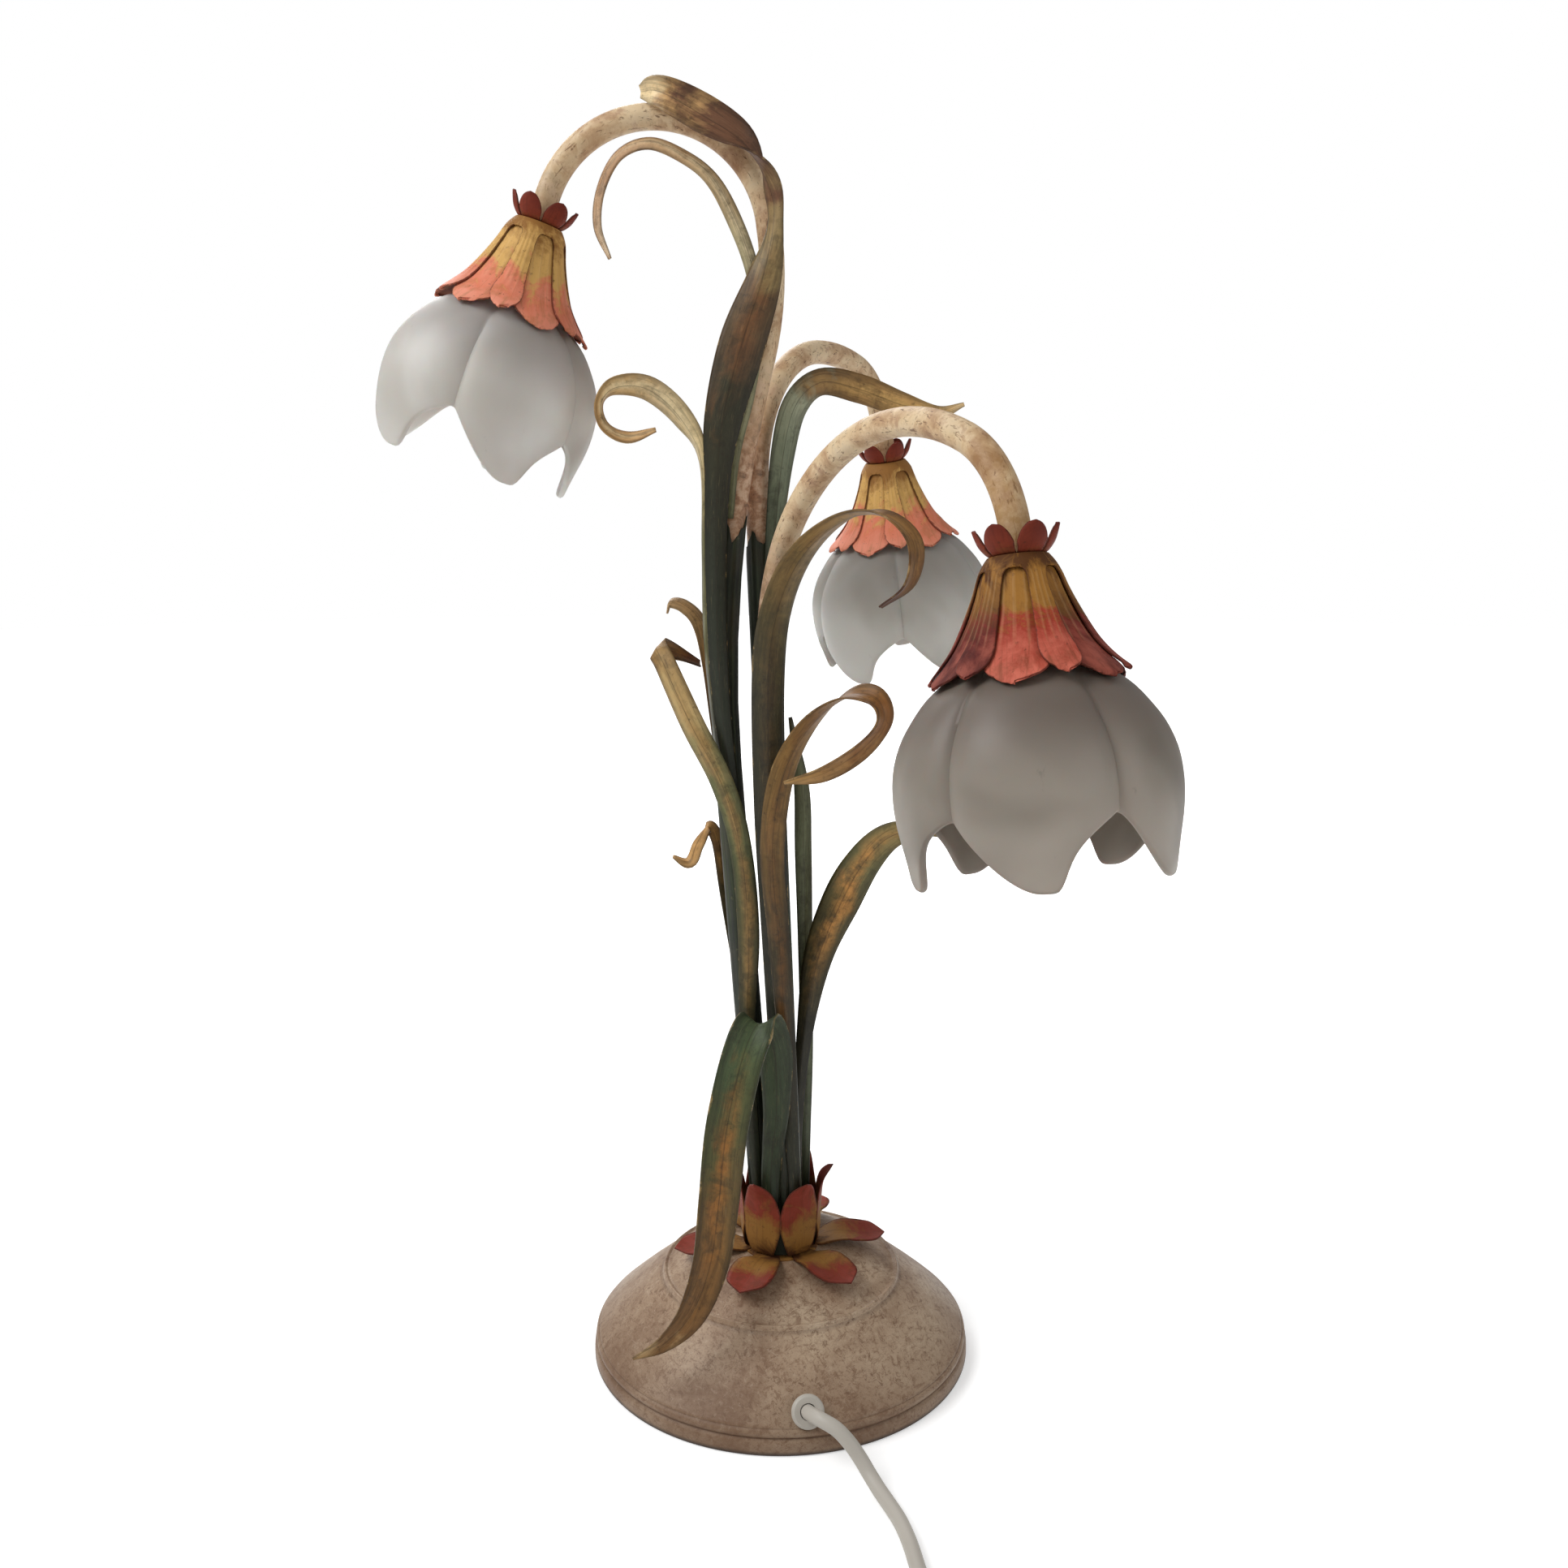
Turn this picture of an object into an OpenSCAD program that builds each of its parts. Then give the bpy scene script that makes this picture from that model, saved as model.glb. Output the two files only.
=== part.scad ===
// Table lamp with three drooping tulip flowers.
// Three bent tubes rise from a domed base, wrapped in leaves of creased sheet metal.
// Each tube ends in a flower: calyx, two nested bells of petals, and a frosted glass shade.
// +Z is up, and the origin is the centre of the base where it stands on the table.

/* [Base] */
// Radius of the dome at the table
base_r = 100; // [95:1:108]
// Height of the flat land on top of the dome
base_h = 56; // [52:1:62]
// Sheet thickness of the dome
dome_wall = 1.2; // [0.8:0.1:1.6]
// Radius of the embossed ring on the dome
ring_r = 62.5; // [58:0.5:66]
// Height of the beaded band round the rim
band_h = 13; // [11:0.5:15]
// Radius of the flat land on top of the dome
land_r = 22; // [20:0.5:24]
// Thickness of the felt pad
felt_t = 2; // [1.5:0.1:2.5]
// Thickness of the wide part of the cast ballast
weight_flange = 6; // [4:0.5:7]
// Thickness of the raised middle of the cast ballast
weight_boss = 7; // [5:0.5:8]
// Outer radius of the threaded rod
rod_r = 4.9; // [4.5:0.1:5]
// Bore radius of the threaded rod
rod_bore = 3.2; // [2.5:0.1:3.5]

/* [Stems] */
// Outer diameter of the stem tubes
tube_d = 12; // [12:0.1:12.4]
// Wall of the stem tubes
tube_wall = 1; // [0.8:0.1:1]
// Radius of the circle that the three tube feet stand on
foot_circle = 9.3; // [9.2:0.1:10]
// Bend radius of the tall arch
tall_arch_r = 55.5; // [54:0.5:57]
// Straight length below the tall arch
tall_neck = 9; // [4:1:14]
// Straight length below the bow of the tall stem
tall_run = 228; // [222:1:234]
// Straight length below the arch of the back stem
back_run = 368; // [360:1:376]
// Straight length below the arch of the front stem
front_run = 285; // [278:1:292]
// Outward tilt of the tall flower from straight down
tall_tilt = 19; // [15:1:23]
// Outward tilt of the back flower from straight down
back_tilt = 14; // [10:1:18]
// Outward tilt of the front flower from straight down
front_tilt = 10; // [6:1:14]
// Thickness of the sheaths round the lower part of the tubes
sheath_t = 0.5; // [0.4:0.1:0.6]
// Height of the ribs on the sheaths
rib_h = 0.4; // [0.2:0.1:0.5]

/* [Leaves] */
// Sheet thickness of the leaves
leaf_t = 0.9; // [0.7:0.1:1.2]
// Rise of a leaf's edges over its midrib, as a share of its half width
leaf_crease = 0.28; // [0.2:0.01:0.34]

/* [Flowers] */
// Depth of the bells
bell_h = 45.5; // [44:0.5:46]
// Radius of a bell at its shoulder
bell_top = 11; // [10.5:0.1:12]
// Radius of a bell at its rim
bell_rim = 38; // [37:0.5:39]
// Sheet thickness of the bells and calyx
sheet_t = 0.8; // [0.6:0.1:0.9]
// Petals of a bell and of a calyx
petals = 6; // [5:1:7]
// Radius of the calyx at its petal tips
calyx_r = 16; // [15:0.5:17]
// Height of the calyx petals
calyx_h = 14; // [12:0.5:16]
// Largest radius of the glass shade
shade_r = 53; // [51:0.5:55]
// Distance from the tube's end to the shade's tips
shade_end = 121; // [118:1:125]
// Wall of the glass
glass_t = 3; // [2.5:0.1:3.2]
// Petals of the glass shade
shade_petals = 5; // [5:1:5]
// How far the creases of the glass draw in
shade_pinch = 4.5; // [3:0.5:6]
// Radius of the bulb's globe
bulb_r = 22; // [20:0.5:22.5]

/* [Floret] */
// Reach of the flat petals on the dome
flat_reach = 57; // [54:1:60]
// Height of the upright petals
upright_h = 44; // [40:1:48]
// Sheet thickness of the floret
floret_t = 1; // [0.8:0.1:1.2]
// Height of the hub that holds the tubes
hub_h = 16; // [15:0.5:17]

/* [Cord] */
// Outer diameter of the cord
cord_d = 7; // [7:0.1:7.1]
// Loops in each of the two layers of the coil
coil_turns = 3; // [3:1:3]
// Middle radius of the outermost loop
coil_r = 49; // [48.5:0.5:50]
// Distance between neighbouring loops
coil_pitch = 7.6; // [7.5:0.1:7.8]

/* [Switch and plug] */
// Length of the switch housing
switch_len = 58; // [56:1:60]
// Width of the switch housing
switch_w = 26; // [25:1:28]
// Height of the switch housing
switch_h = 17; // [16:0.5:18]
// Radius of the rocker's drum
rocker_r = 8; // [7.5:0.1:8.2]
// Width of the rocker
rocker_w = 11; // [9:0.5:12]
// Travel of the rocker between its two positions
rocker_travel = 16; // [12:1:18]
// Width of the plug body
plug_w = 34; // [33:1:36]
// Height of the plug body
plug_h = 16; // [15:0.5:17]
// Distance between the plug's pins
pin_gap = 19; // [19:0.1:19.2]

/* [Hidden] */

// Clearances
slip = 0.2;
seat = 0.3;
thread_fit = 0.05;

// Facets of round and swept forms
round_fn = 64;
tube_sides = 12;
sheath_sides = 16;
cord_sides = 8;
coil_rings = 24;
bend_step = 12;
shade_sides = 40;

// Worked-out sizes of the base
rod_hole = rod_r + 0.4;
crown_drop = 13.5;
felt_r = base_r - 3;
weight_r = base_r - 7;
weight_boss_r = 46;
weight_top = felt_t + weight_flange + weight_boss;
nut_r = 9.6;
nut_h = 5;

// Worked-out sizes of the stems, with heights measured from the land on the dome
tube_r = tube_d / 2;
tube_bore = tube_r - tube_wall;
hub_base = 2 * floret_t;
hub_r = foot_circle + tube_r + slip + 1.6;
foot_z = hub_base + 6;
foot_run = 14;
chamber_z = foot_z - 3;
lean_r = 150;
sheath_foot = hub_base + hub_h - foot_z;
sheath_in = tube_r + slip;
sheath_out = sheath_in + sheath_t;

// Directions that the arches lean out in, and the leans of the stems' lower ends
tall_az = 176;
back_az = 58.5;
front_az = -61;
tall_lean = 4.2;
tall_bow = 18;
tall_bow_r = 600;
back_lean = 2.6;
back_lean_az = 165;
front_lean = 2.3;
front_lean_az = 185;
front_straight = 250;

// Bend tables: each row is a straight length, a turn about the tube, a bend radius and a bend angle
tall_bends = [
    [foot_run, 180, lean_r, tall_lean],
    [tall_run, 180, tall_bow_r, tall_bow - 6],
    [0, 0, tall_bow_r, 6],
    [tall_neck, tall_az, 164, 22.4],
    [0, 0, tall_arch_r, 90],
    [0, 0, 53, 67.6 + tall_bow - tall_lean - tall_tilt],
    [12, 0, 0, 0],
];
back_bends = [
    [foot_run, back_lean_az, lean_r, back_lean],
    [back_run - 20, 0, 0, 0],
    [20, back_az - back_lean_az, 71, 85],
    [0, 0, 121, 20],
    [0, 0, 39, 79 - back_tilt],
    [20, 0, 0, 0],
];
front_bends = [
    [foot_run, front_lean_az, lean_r, front_lean],
    [front_straight, 180, lean_r, front_lean],
    [front_run - front_straight - 7, 0, 0, 0],
    [7, front_az - front_lean_az - 180, 93, 45],
    [0, 0, 123, 66],
    [0, 0, 53, 69 - front_tilt],
    [4, 0, 0, 0],
];
tall_foot = [-foot_circle, 0, foot_z];
back_foot = foot_circle * [cos(60), sin(60), 0] + [0, 0, foot_z];
front_foot = foot_circle * [cos(60), -sin(60), 0] + [0, 0, foot_z];

// Heights along the flower's own axis, from the tube's end
calyx_z = 0;
bell_z = calyx_z + sheet_t;
inner_z = bell_z + sheet_t;
flower_nut_z = inner_z + sheet_t;
flower_nut_h = 4;
nipple_in = 3.8;
holder_z = flower_nut_z + flower_nut_h;
holder_r = 13.3;
holder_flange = 17;
flange_z = holder_z + 22.6;
flange_t = 3;
glass_z = flange_z + flange_t + seat;
shade_ring_z = glass_z + glass_t + 1;
shade_ring_h = 6;
holder_end = holder_z + 43.3;
cap_r = 6.9;
cap_cavity = cap_r + 0.4;
cap_z = holder_z + 18;
shade_neck = holder_r + 0.8;

// Where the tall stem's bow ends in the frame that the two upper leaves' rows are written in
bow_home = [-10.69, 0, 447.44];
// Leaves: [x, y, z, side direction, width], with z measured from the land on the dome
leaf_wrap_rows = [
    [-22.5, -8.1, 236, 1, 0, 0, 6], [-29, -14, 295, 1, 0, 0, 9], [-31, -16, 351, 1, 0, 0, 10],
    [-30, -17, 397, 1, 0, 0, 12], [-27, -17, 428, 1, 0, 0.1, 18], [-18, -16, 462, 1, 0, 0.3, 22],
    [-8, -16, 492, 1, -0.2, 0.4, 17], [-3, -15, 517, 0.8, -0.6, 0.2, 9],
    [-6, -14, 534, 0.6, -0.5, -0.6, 13], [-18, -13, 551, 0.4, -0.4, -0.9, 17],
    [-36, -11, 563, 0.3, -0.3, -1, 19], [-55, -8, 574, 0.2, -0.1, -1, 14], [-64, 2, 577, 0.1, 0.3, -1, 6],
];
leaf_arch_curl_rows = [
    [-24, -10, 382, 1, 0, 0, 3], [-21, -10, 412, 1, 0, 0, 4], [-14, -10, 442, 1, 0, 0, 5],
    [-10, -10, 472, 1, 0, 0, 5], [-13, -10, 497, 1, 0.3, 0, 7], [-21, -9, 519, 0.9, 0.5, 0, 8],
    [-31, -7, 537, 0.7, 0.7, 0, 8], [-44, -3, 548, 0.5, 0.9, 0.1, 8], [-61, 0, 555, 0.2, 1, 0.3, 8],
    [-76, 2, 550, 0.1, 1, 0.2, 7], [-85, 3, 535, 0, 1, 0, 6], [-87, 3, 518, 0, 1, 0, 5],
    [-81, 2, 503, 0, 1, 0, 2],
];
leaf_left_curl_rows = [
    [-30.2, -6.9, 254, 0.6, -0.8, 0, 6], [-36, -9, 319, 0.6, -0.8, 0, 8], [-37, -9, 366, 0.5, -0.8, 0, 9],
    [-38, -10, 408, 0.4, -0.9, 0, 9], [-46, -14, 428, 0.4, -0.9, 0, 10], [-61, -18, 443, 0.2, -1, 0.2, 10],
    [-76, -22, 444, 0, -1, 0.2, 9], [-83, -24, 436, 0, -1, 0, 8], [-81, -24, 425, 0, -1, 0, 8],
    [-71, -24, 420, 0, -1, 0.2, 6], [-58, -24, 423, 0, -1, 0.2, 2],
];
leaf_right_upper_rows = [
    [-6, 4, 334, 1, 0.2, 0, 6], [-2.5, 3.5, 378, 1, 0.2, 0, 9], [1.5, 4, 413, 1, 0.2, 0, 12],
    [7.5, 5, 436, 0.9, 0.2, -0.3, 13], [20, 8, 447, 0.5, 0.3, -0.8, 13], [39, 12, 444, 0.2, 0.3, -1, 14],
    [59, 14, 437, -0.1, 0.3, -1, 12], [77, 14, 433, 0, 0.2, -1, 7], [90, 12, 437, 0, 0.2, -1, 2],
];
leaf_front_right_rows = [
    [0, -16.6, 60, 1, 0, 0, 8], [-1, -20, 126, 1, 0, 0, 11], [-3, -20, 186, 1, 0, 0, 14],
    [-5, -20, 240, 1, 0, 0, 16], [-6, -21, 301, 1, 0, 0, 16], [-2, -29, 336, 0.95, 0.3, 0, 16],
    [9, -43, 363, 0.9, 0.4, 0, 15], [27, -58, 380, 0.8, 0.6, 0, 13], [44, -72, 383, 0.7, 0.7, 0, 12],
    [57, -80, 372, 0.7, 0.7, 0, 11], [56, -80, 355, 0.7, 0.7, 0, 8], [44, -74, 344, 0.7, 0.7, 0, 3],
];
leaf_loop_rows = [
    [6, -18.3, 64, 1, 0, 0, 7], [3, -25, 124, 1, 0, 0, 9], [-1, -26, 180, 1, 0, 0, 11],
    [-4, -27, 221, 1, 0, 0, 12], [1, -30, 258, 0.95, 0.3, 0, 13], [13, -36, 283, 0.85, 0.5, 0, 12],
    [30, -46, 300, 0.7, 0.7, 0, 11], [44, -54, 303, 0.6, 0.8, 0, 10], [48, -58, 291, 0.6, 0.8, 0, 10],
    [37, -56, 276, 0.5, 0.8, 0.2, 10], [19, -50, 264, 0.3, 0.9, 0.3, 8], [1, -42, 259, 0.3, 0.9, 0.3, 2],
];
leaf_left_bent_rows = [
    [-14, -8.5, 64, 1, 0, 0, 6], [-17, -15, 125, 1, 0, 0, 8], [-16, -18, 177, 1, 0, 0, 11],
    [-20, -19, 223, 1, 0, 0, 11], [-29, -19, 254, 0.9, -0.2, 0.3, 12], [-44, -15, 283, 0.8, -0.3, 0.5, 13],
    [-58, -4, 312, 0.7, -0.2, 0.7, 12], [-62, 6, 319, 0.6, 0.3, 0.7, 11], [-54, 17, 315, 0.2, 0.6, 0.6, 9],
    [-42, 26, 308, 0, 0.8, 0.5, 5],
];
leaf_back_tip_rows = [
    [-21.8, 8.9, 209, 0.8, 0.5, 0, 5], [-30, 13.5, 263, 0.8, 0.5, 0, 7], [-35, 14, 309, 0.8, 0.5, 0, 9],
    [-40, 15, 330, 0.6, 0.6, 0.5, 9], [-48, 16, 339, 0.3, 0.6, 0.7, 8], [-56, 18, 341, 0.1, 0.8, 0.6, 7],
    [-58, 19, 335, 0.1, 0.8, 0.4, 2],
];
leaf_side_curl_rows = [
    [-23, 7, 152, 0.8, 0.5, 0, 4], [-28.5, 8.5, 192, 0.8, 0.5, 0, 6], [-32, 9, 219, 0.8, 0.5, 0.2, 7],
    [-37, 8, 228, 0.4, 0.9, 0, 7], [-43, 6, 218, 0.2, 1, 0, 6], [-47, 5, 208, 0.2, 1, 0, 5],
    [-55, 4, 212, 0.2, 1, 0.2, 2],
];
leaf_right_lower_rows = [
    [8.5, 0.4, 62, 0.9, 0.3, 0, 7], [12, 1, 112, 1, 0, -0.1, 8], [19, 0, 157, 1, 0, -0.3, 15],
    [31, -5, 190, 1, 0, -0.5, 20], [42, -10, 212, 0.9, 0, -0.6, 18], [54, -15, 226, 0.6, 0, -0.9, 14],
    [70, -20, 231, 0.2, 0, -1, 8], [86, -24, 228, 0, 0.3, -1, 3],
];
leaf_foot_rows = [
    [-5, -17.6, 18.4, 1, 0, 0, 8], [-5, -17.8, 45, 1, 0, 0, 10], [-4, -20.6, 62, 1, 0, 0, 11],
    [-2, -26.5, 89, 1, 0, 0, 14],
    [-3, -31, 119, 1, 0, 0, 18], [-10, -37, 136, 1, 0, 0, 21], [-18, -46, 124, 1, 0, 0, 21],
    [-26, -54, 90, 1, 0, 0, 21], [-30, -60, 54, 1, 0, 0.1, 19], [-33, -66, 25, 0.9, 0, 0.3, 17],
    [-42, -74, 2, 0.8, 0, 0.5, 13], [-54, -80, -9, 0.6, 0, 0.7, 8], [-69, -84, -15, 0.4, 0, 0.9, 2],
];
leaf_back_right_rows = [
    [13.4, 9, 62, 1, 0.2, 0, 6], [14, 10, 107, 1, 0.2, 0, 7], [13, 10, 169, 1, 0.2, 0, 8],
    [12, 10, 213, 1, 0.2, 0, 9], [11, 10, 247, 1, 0.2, 0, 8], [5, 9, 283, 1, 0.2, 0, 2],
];

// Cord route from the grommet to the switch, chosen by hand: [x, distance out from the rim, height]
grommet_az = -82;
grommet_rise = 28;
grommet_at = [13, 7 - base_r, 19];
grommet_out = [cos(grommet_az) * cos(grommet_rise), sin(grommet_az) * cos(grommet_rise), sin(grommet_rise)];
grommet_lip = 3;
cord_exit = grommet_at + grommet_lip * grommet_out;
cord_z = cord_d / 2;
cord_rows = [
    [19, 8, 25], [26, 12, 23], [32, 15, 18], [37, 18, 12], [41, 22, 7], [45, 29, 4.2], [49, 38, cord_z],
    [53, 49, cord_z], [56, 62, cord_z], [58, 76, cord_z], [59.5, 88, cord_z],
];
tail_rows = [[11, 19 - base_r, 13.5], [9, 32 - base_r, 13.5], [6, -52, 19], [3, -44, 22]];

// Switch, coil and plug on the table in front of the lamp
switch_boss = 3;
switch_at = [60, -base_r - 98];
coil_at = [-6, -base_r - 150];
plug_at = [-92, -base_r - 170];
plug_body_len = 34;
relief_len = 22;
pin_len = 19;
pin_r = 2;

// ---------- vectors and paths ----------

function unit(v) = v / norm(v);
function lerp(a, b, t) = a + (b - a) * t;
function rev(list) = [for (i = [len(list) - 1:-1:0]) list[i]];
function last(list) = list[len(list) - 1];
function turned(x, y, a) = x * cos(a) + y * sin(a);

// Catmull-Rom value between q1 and q2
function spline_at(q0, q1, q2, q3, t) =
    0.5 * (2 * q1 + (q2 - q0) * t + (2 * q0 - 5 * q1 + 4 * q2 - q3) * t * t
        + (3 * q1 - q0 - 3 * q2 + q3) * t * t * t);
function pick(rows, i) =
    i < 0 ? 2 * rows[0] - rows[1] :
    i >= len(rows) ? 2 * last(rows) - rows[len(rows) - 2] : rows[i];
function spline(rows, steps) = concat(
    [for (i = [0:len(rows) - 2], k = [0:steps - 1])
        spline_at(pick(rows, i - 1), rows[i], rows[i + 1], pick(rows, i + 2), k / steps)],
    [last(rows)]);
function point(row) = [row[0], row[1], row[2]];
function slope(path, i) = unit(path[min(i + 1, len(path) - 1)] - path[max(i - 1, 0)]);

// A state is [position, bend direction, heading, turn so far]
function moved(s, d) = [s[0] + d * s[2], s[1], s[2], s[3]];
function spun(s, a) = [s[0], turned(s[1], cross(s[2], s[1]), a), s[2], s[3] + a];
function bent(s, r, a) = [
    s[0] + r * (1 - cos(a)) * s[1] + r * sin(a) * s[2],
    s[1] * cos(a) - s[2] * sin(a),
    s[2] * cos(a) + s[1] * sin(a),
    s[3]];
function after(s, row) = bent(spun(moved(s, row[0]), row[1]), row[2], row[3]);
function states(s, rows, k = 0) =
    k == len(rows) ? [] :
    let (
        start = spun(moved(s, rows[k][0]), rows[k][1]),
        n = max(1, ceil(rows[k][3] / bend_step)),
        first = rows[k][0] > 0 && k > 0 ? [start] : [],
        bends = rows[k][3] > 0 ? [for (i = [1:n]) bent(start, rows[k][2], rows[k][3] * i / n)] : []
    )
    concat(k == 0 ? [moved(s, rows[0][0])] : first, bends, states(after(s, rows[k]), rows, k + 1));
function end_state(s, rows, k = 0) = k == len(rows) ? s : end_state(after(s, rows[k]), rows, k + 1);
function foot_state(foot) = [foot, [1, 0, 0], [0, 0, 1], 0];
function stem_states(foot, rows) = concat([foot_state(foot)], states(foot_state(foot), rows));

// ---------- closed meshes ----------

// Triangles of the wall between two neighbouring rings of n points that start at a and b
function wall(a, b, n) = [for (k = [0:n - 1], half = [0, 1])
    let (j = (k + 1) % n)
    half == 0 ? [a + k, b + k, b + j] : [a + k, b + j, a + j]];

// A solid rod through rings of points; caps is the list of triangles that closes one ring
module rod_mesh(rings, caps) {
    n = len(rings[0]);
    m = len(rings);
    polyhedron(
        points = [for (ring = rings) each ring],
        faces = concat(
            [for (i = [0:m - 2]) each wall((i + 1) * n, i * n, n)],
            [for (c = caps) [c[2], c[1], c[0]]],
            [for (c = caps) c + (m - 1) * n * [1, 1, 1]]),
        convexity = 8);
}
function fan(n) = [for (k = [1:n - 2]) [0, k, k + 1]];

// A hollow form between outer and inner rings, open at both ends
module hollow_mesh(outer, inner) {
    n = len(outer[0]);
    m = len(outer);
    polyhedron(
        points = concat([for (ring = outer) each ring], [for (ring = inner) each ring]),
        faces = concat(
            [for (i = [0:m - 2]) each wall(i * n, (i + 1) * n, n)],
            [for (i = [0:m - 2]) each wall((m + i + 1) * n, (m + i) * n, n)],
            wall(m * n, 0, n),
            wall((m - 1) * n, (2 * m - 1) * n, n)),
        convexity = 10);
}

// Ring of section points in the frame of a state, kept free of the tube's own turns
function ring_at(s, section) =
    let (u = turned(s[1], cross(s[2], s[1]), -s[3]), v = cross(s[2], u))
    [for (q = section) s[0] + q[0] * u + q[1] * v];
function circle_section(r, n) = [for (k = [0:n - 1]) r * [cos(360 * k / n), sin(360 * k / n)]];
function ribbed_section(r, h, n) =
    [for (k = [0:n - 1]) (r + (k % 2) * h) * [cos(360 * k / n), sin(360 * k / n)]];

module swept_tube(s, outer_section, inner_section) {
    hollow_mesh([for (a = s) ring_at(a, outer_section)], [for (a = s) ring_at(a, inner_section)]);
}

// Round rod along a path of points; its end rings stand square to start and finish where given
module swept_rod(path, r, sides, start, finish) {
    m = len(path);
    heads = [for (i = [0:m - 1])
        i == 0 && !is_undef(start) ? start :
        i == m - 1 && !is_undef(finish) ? finish : slope(path, i)];
    rod_mesh([for (i = [0:m - 1])
        let (side = unit(cross(heads[i], [0, 0, 1])), top = cross(side, heads[i]))
        [for (k = [0:sides - 1])
            let (a = 360 * (k + 0.5) / sides)
            path[i] + r / cos(180 / sides) * (cos(a) * side + sin(a) * top)]],
        fan(sides));
}

// Creased strap of sheet metal through [x, y, z, side, width] rows, flat over its first flat_rings rings
module strap(rows, thickness, crease, steps = 2, flat_rings = 0) {
    q = spline(rows, steps);
    path = [for (a = q) point(a)];
    rod_mesh([for (i = [0:len(q) - 1])
        let (
            head = slope(path, i),
            raw = [q[i][3], q[i][4], q[i][5]],
            side = unit(raw - (raw * head) * head),
            up = cross(head, side),
            half = max(q[i][6], 1) / 2,
            rise = half * crease * min(1, max(0, i - flat_rings) / 2 + (flat_rings > 0 ? 0 : 1)) * up,
            down = -thickness * up
        )
        [
            path[i] - half * side + rise,
            path[i],
            path[i] + half * side + rise,
            path[i] + half * side + rise + down,
            path[i] + down,
            path[i] - half * side + rise + down,
        ]],
        [[0, 1, 4], [0, 4, 5], [1, 2, 3], [1, 3, 4]]);
}

module leaf(rows, tone) {
    color(tone)
        on_land()
        strap(rows, leaf_t, leaf_crease);
}

// A leaf that is brazed to the tall stem above its bow, and keeps its place beside the bow's end
bow_end = end_state(foot_state(tall_foot), [tall_bends[0], tall_bends[1], tall_bends[2]])[0];
module bow_leaf(rows, tone) {
    translate(bow_end - bow_home)
        leaf(rows, tone);
}

module on_land() {
    translate([0, 0, base_h])
        children();
}

// ---------- base ----------

// The dome's outline: a flat land, a crown, a fuller shoulder and a beaded band
crown_end = [ring_r, base_h - crown_drop];
crown_dr = ring_r - land_r;
crown_r = (crown_dr * crown_dr + crown_drop * crown_drop) / (2 * crown_drop);
crown_slope = asin(crown_dr / crown_r);
shoulder_end = [base_r - 2.5, band_h];
shoulder_d = shoulder_end - crown_end;
shoulder_r = (shoulder_d * shoulder_d) / (-2 * (shoulder_d * [sin(crown_slope), cos(crown_slope)]));
function crown(a) = [land_r + crown_r * sin(a), base_h - crown_r * (1 - cos(a))];
function shoulder_point(a) =
    crown_end + shoulder_r * [sin(a) - sin(crown_slope), cos(a) - cos(crown_slope)];
shoulder_stop = 2 * asin(norm(shoulder_d) / (2 * shoulder_r)) + crown_slope;

crown_line = [for (k = [0:5]) crown(crown_slope * k / 6)];
shoulder_line = [for (k = [1:8]) shoulder_point(lerp(crown_slope, shoulder_stop, k / 8))];
emboss_line = [
    crown(crown_slope * 0.96), crown_end + [0, 1], crown_end + [2.2, 0],
];
band_line = [[base_r - 2.2, band_h - 3], [base_r - 0.4, band_h - 5], [base_r - 0.2, 4], [base_r, 0]];

function dome_line() = concat(crown_line, emboss_line, shoulder_line, band_line);
function dome_inner() = concat(
    [for (p = crown_line) p - [dome_wall * 0.4, dome_wall]],
    [crown_end - [dome_wall * 0.6, dome_wall]],
    [for (k = [1:8]) let (a = lerp(crown_slope, shoulder_stop, k / 8))
        shoulder_point(a) - dome_wall * 1.1 * [sin(a), cos(a)]],
    [[base_r - dome_wall - 1.6, band_h - 4], [base_r - dome_wall, 0]]);

module base_dome() {
    color([0.62, 0.52, 0.43])
        difference() {
            rotate_extrude($fn = 96)
                polygon(concat(
                    [[rod_hole, base_h - dome_wall], [rod_hole, base_h]],
                    dome_line(), rev(dome_inner())));
            grommet_place()
                cylinder(h = 30, r = grommet_r + slip, center = true, $fn = round_fn);
        }
}

module base_weight() {
    color([0.23, 0.23, 0.24])
        rotate_extrude($fn = 96)
            polygon([
                [rod_hole, felt_t + nut_h + 0.6], [nut_r + 1.5, felt_t + nut_h + 0.6], [nut_r + 1.5, felt_t],
                [weight_r, felt_t], [weight_r, weight_top - weight_boss],
                [weight_boss_r, weight_top - weight_boss], [weight_boss_r - 2, weight_top],
                [rod_hole, weight_top],
            ]);
}

module felt_pad() {
    color([0.16, 0.24, 0.18])
        cylinder(h = felt_t, r = felt_r, $fn = 96);
}

module hex_nut(h) {
    difference() {
        cylinder(h = h, r = nut_r, $fn = 6);
        translate([0, 0, -1])
            cylinder(h = h + 2, r = rod_r + thread_fit, $fn = round_fn);
    }
}

module base_nuts() {
    color("silver") {
        translate([0, 0, felt_t + 0.6])
            hex_nut(nut_h);
        translate([0, 0, base_h - dome_wall - nut_h])
            hex_nut(nut_h);
    }
}

module hub_nipple() {
    color([0.75, 0.72, 0.6])
        translate([0, 0, felt_t + 0.3])
        difference() {
            cylinder(h = base_h + chamber_z - felt_t - 0.3, r = rod_r, $fn = round_fn);
            translate([0, 0, -1])
                cylinder(h = base_h + foot_z, r = rod_bore, $fn = round_fn);
        }
}

// ---------- cord entry ----------

grommet_r = 5.4;
grommet_bore = cord_z / cos(180 / cord_sides) + 0.1;

module grommet_place() {
    translate(grommet_at)
        rotate([0, 90 - grommet_rise, 0] + [0, 0, grommet_az])
        children();
}

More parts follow.
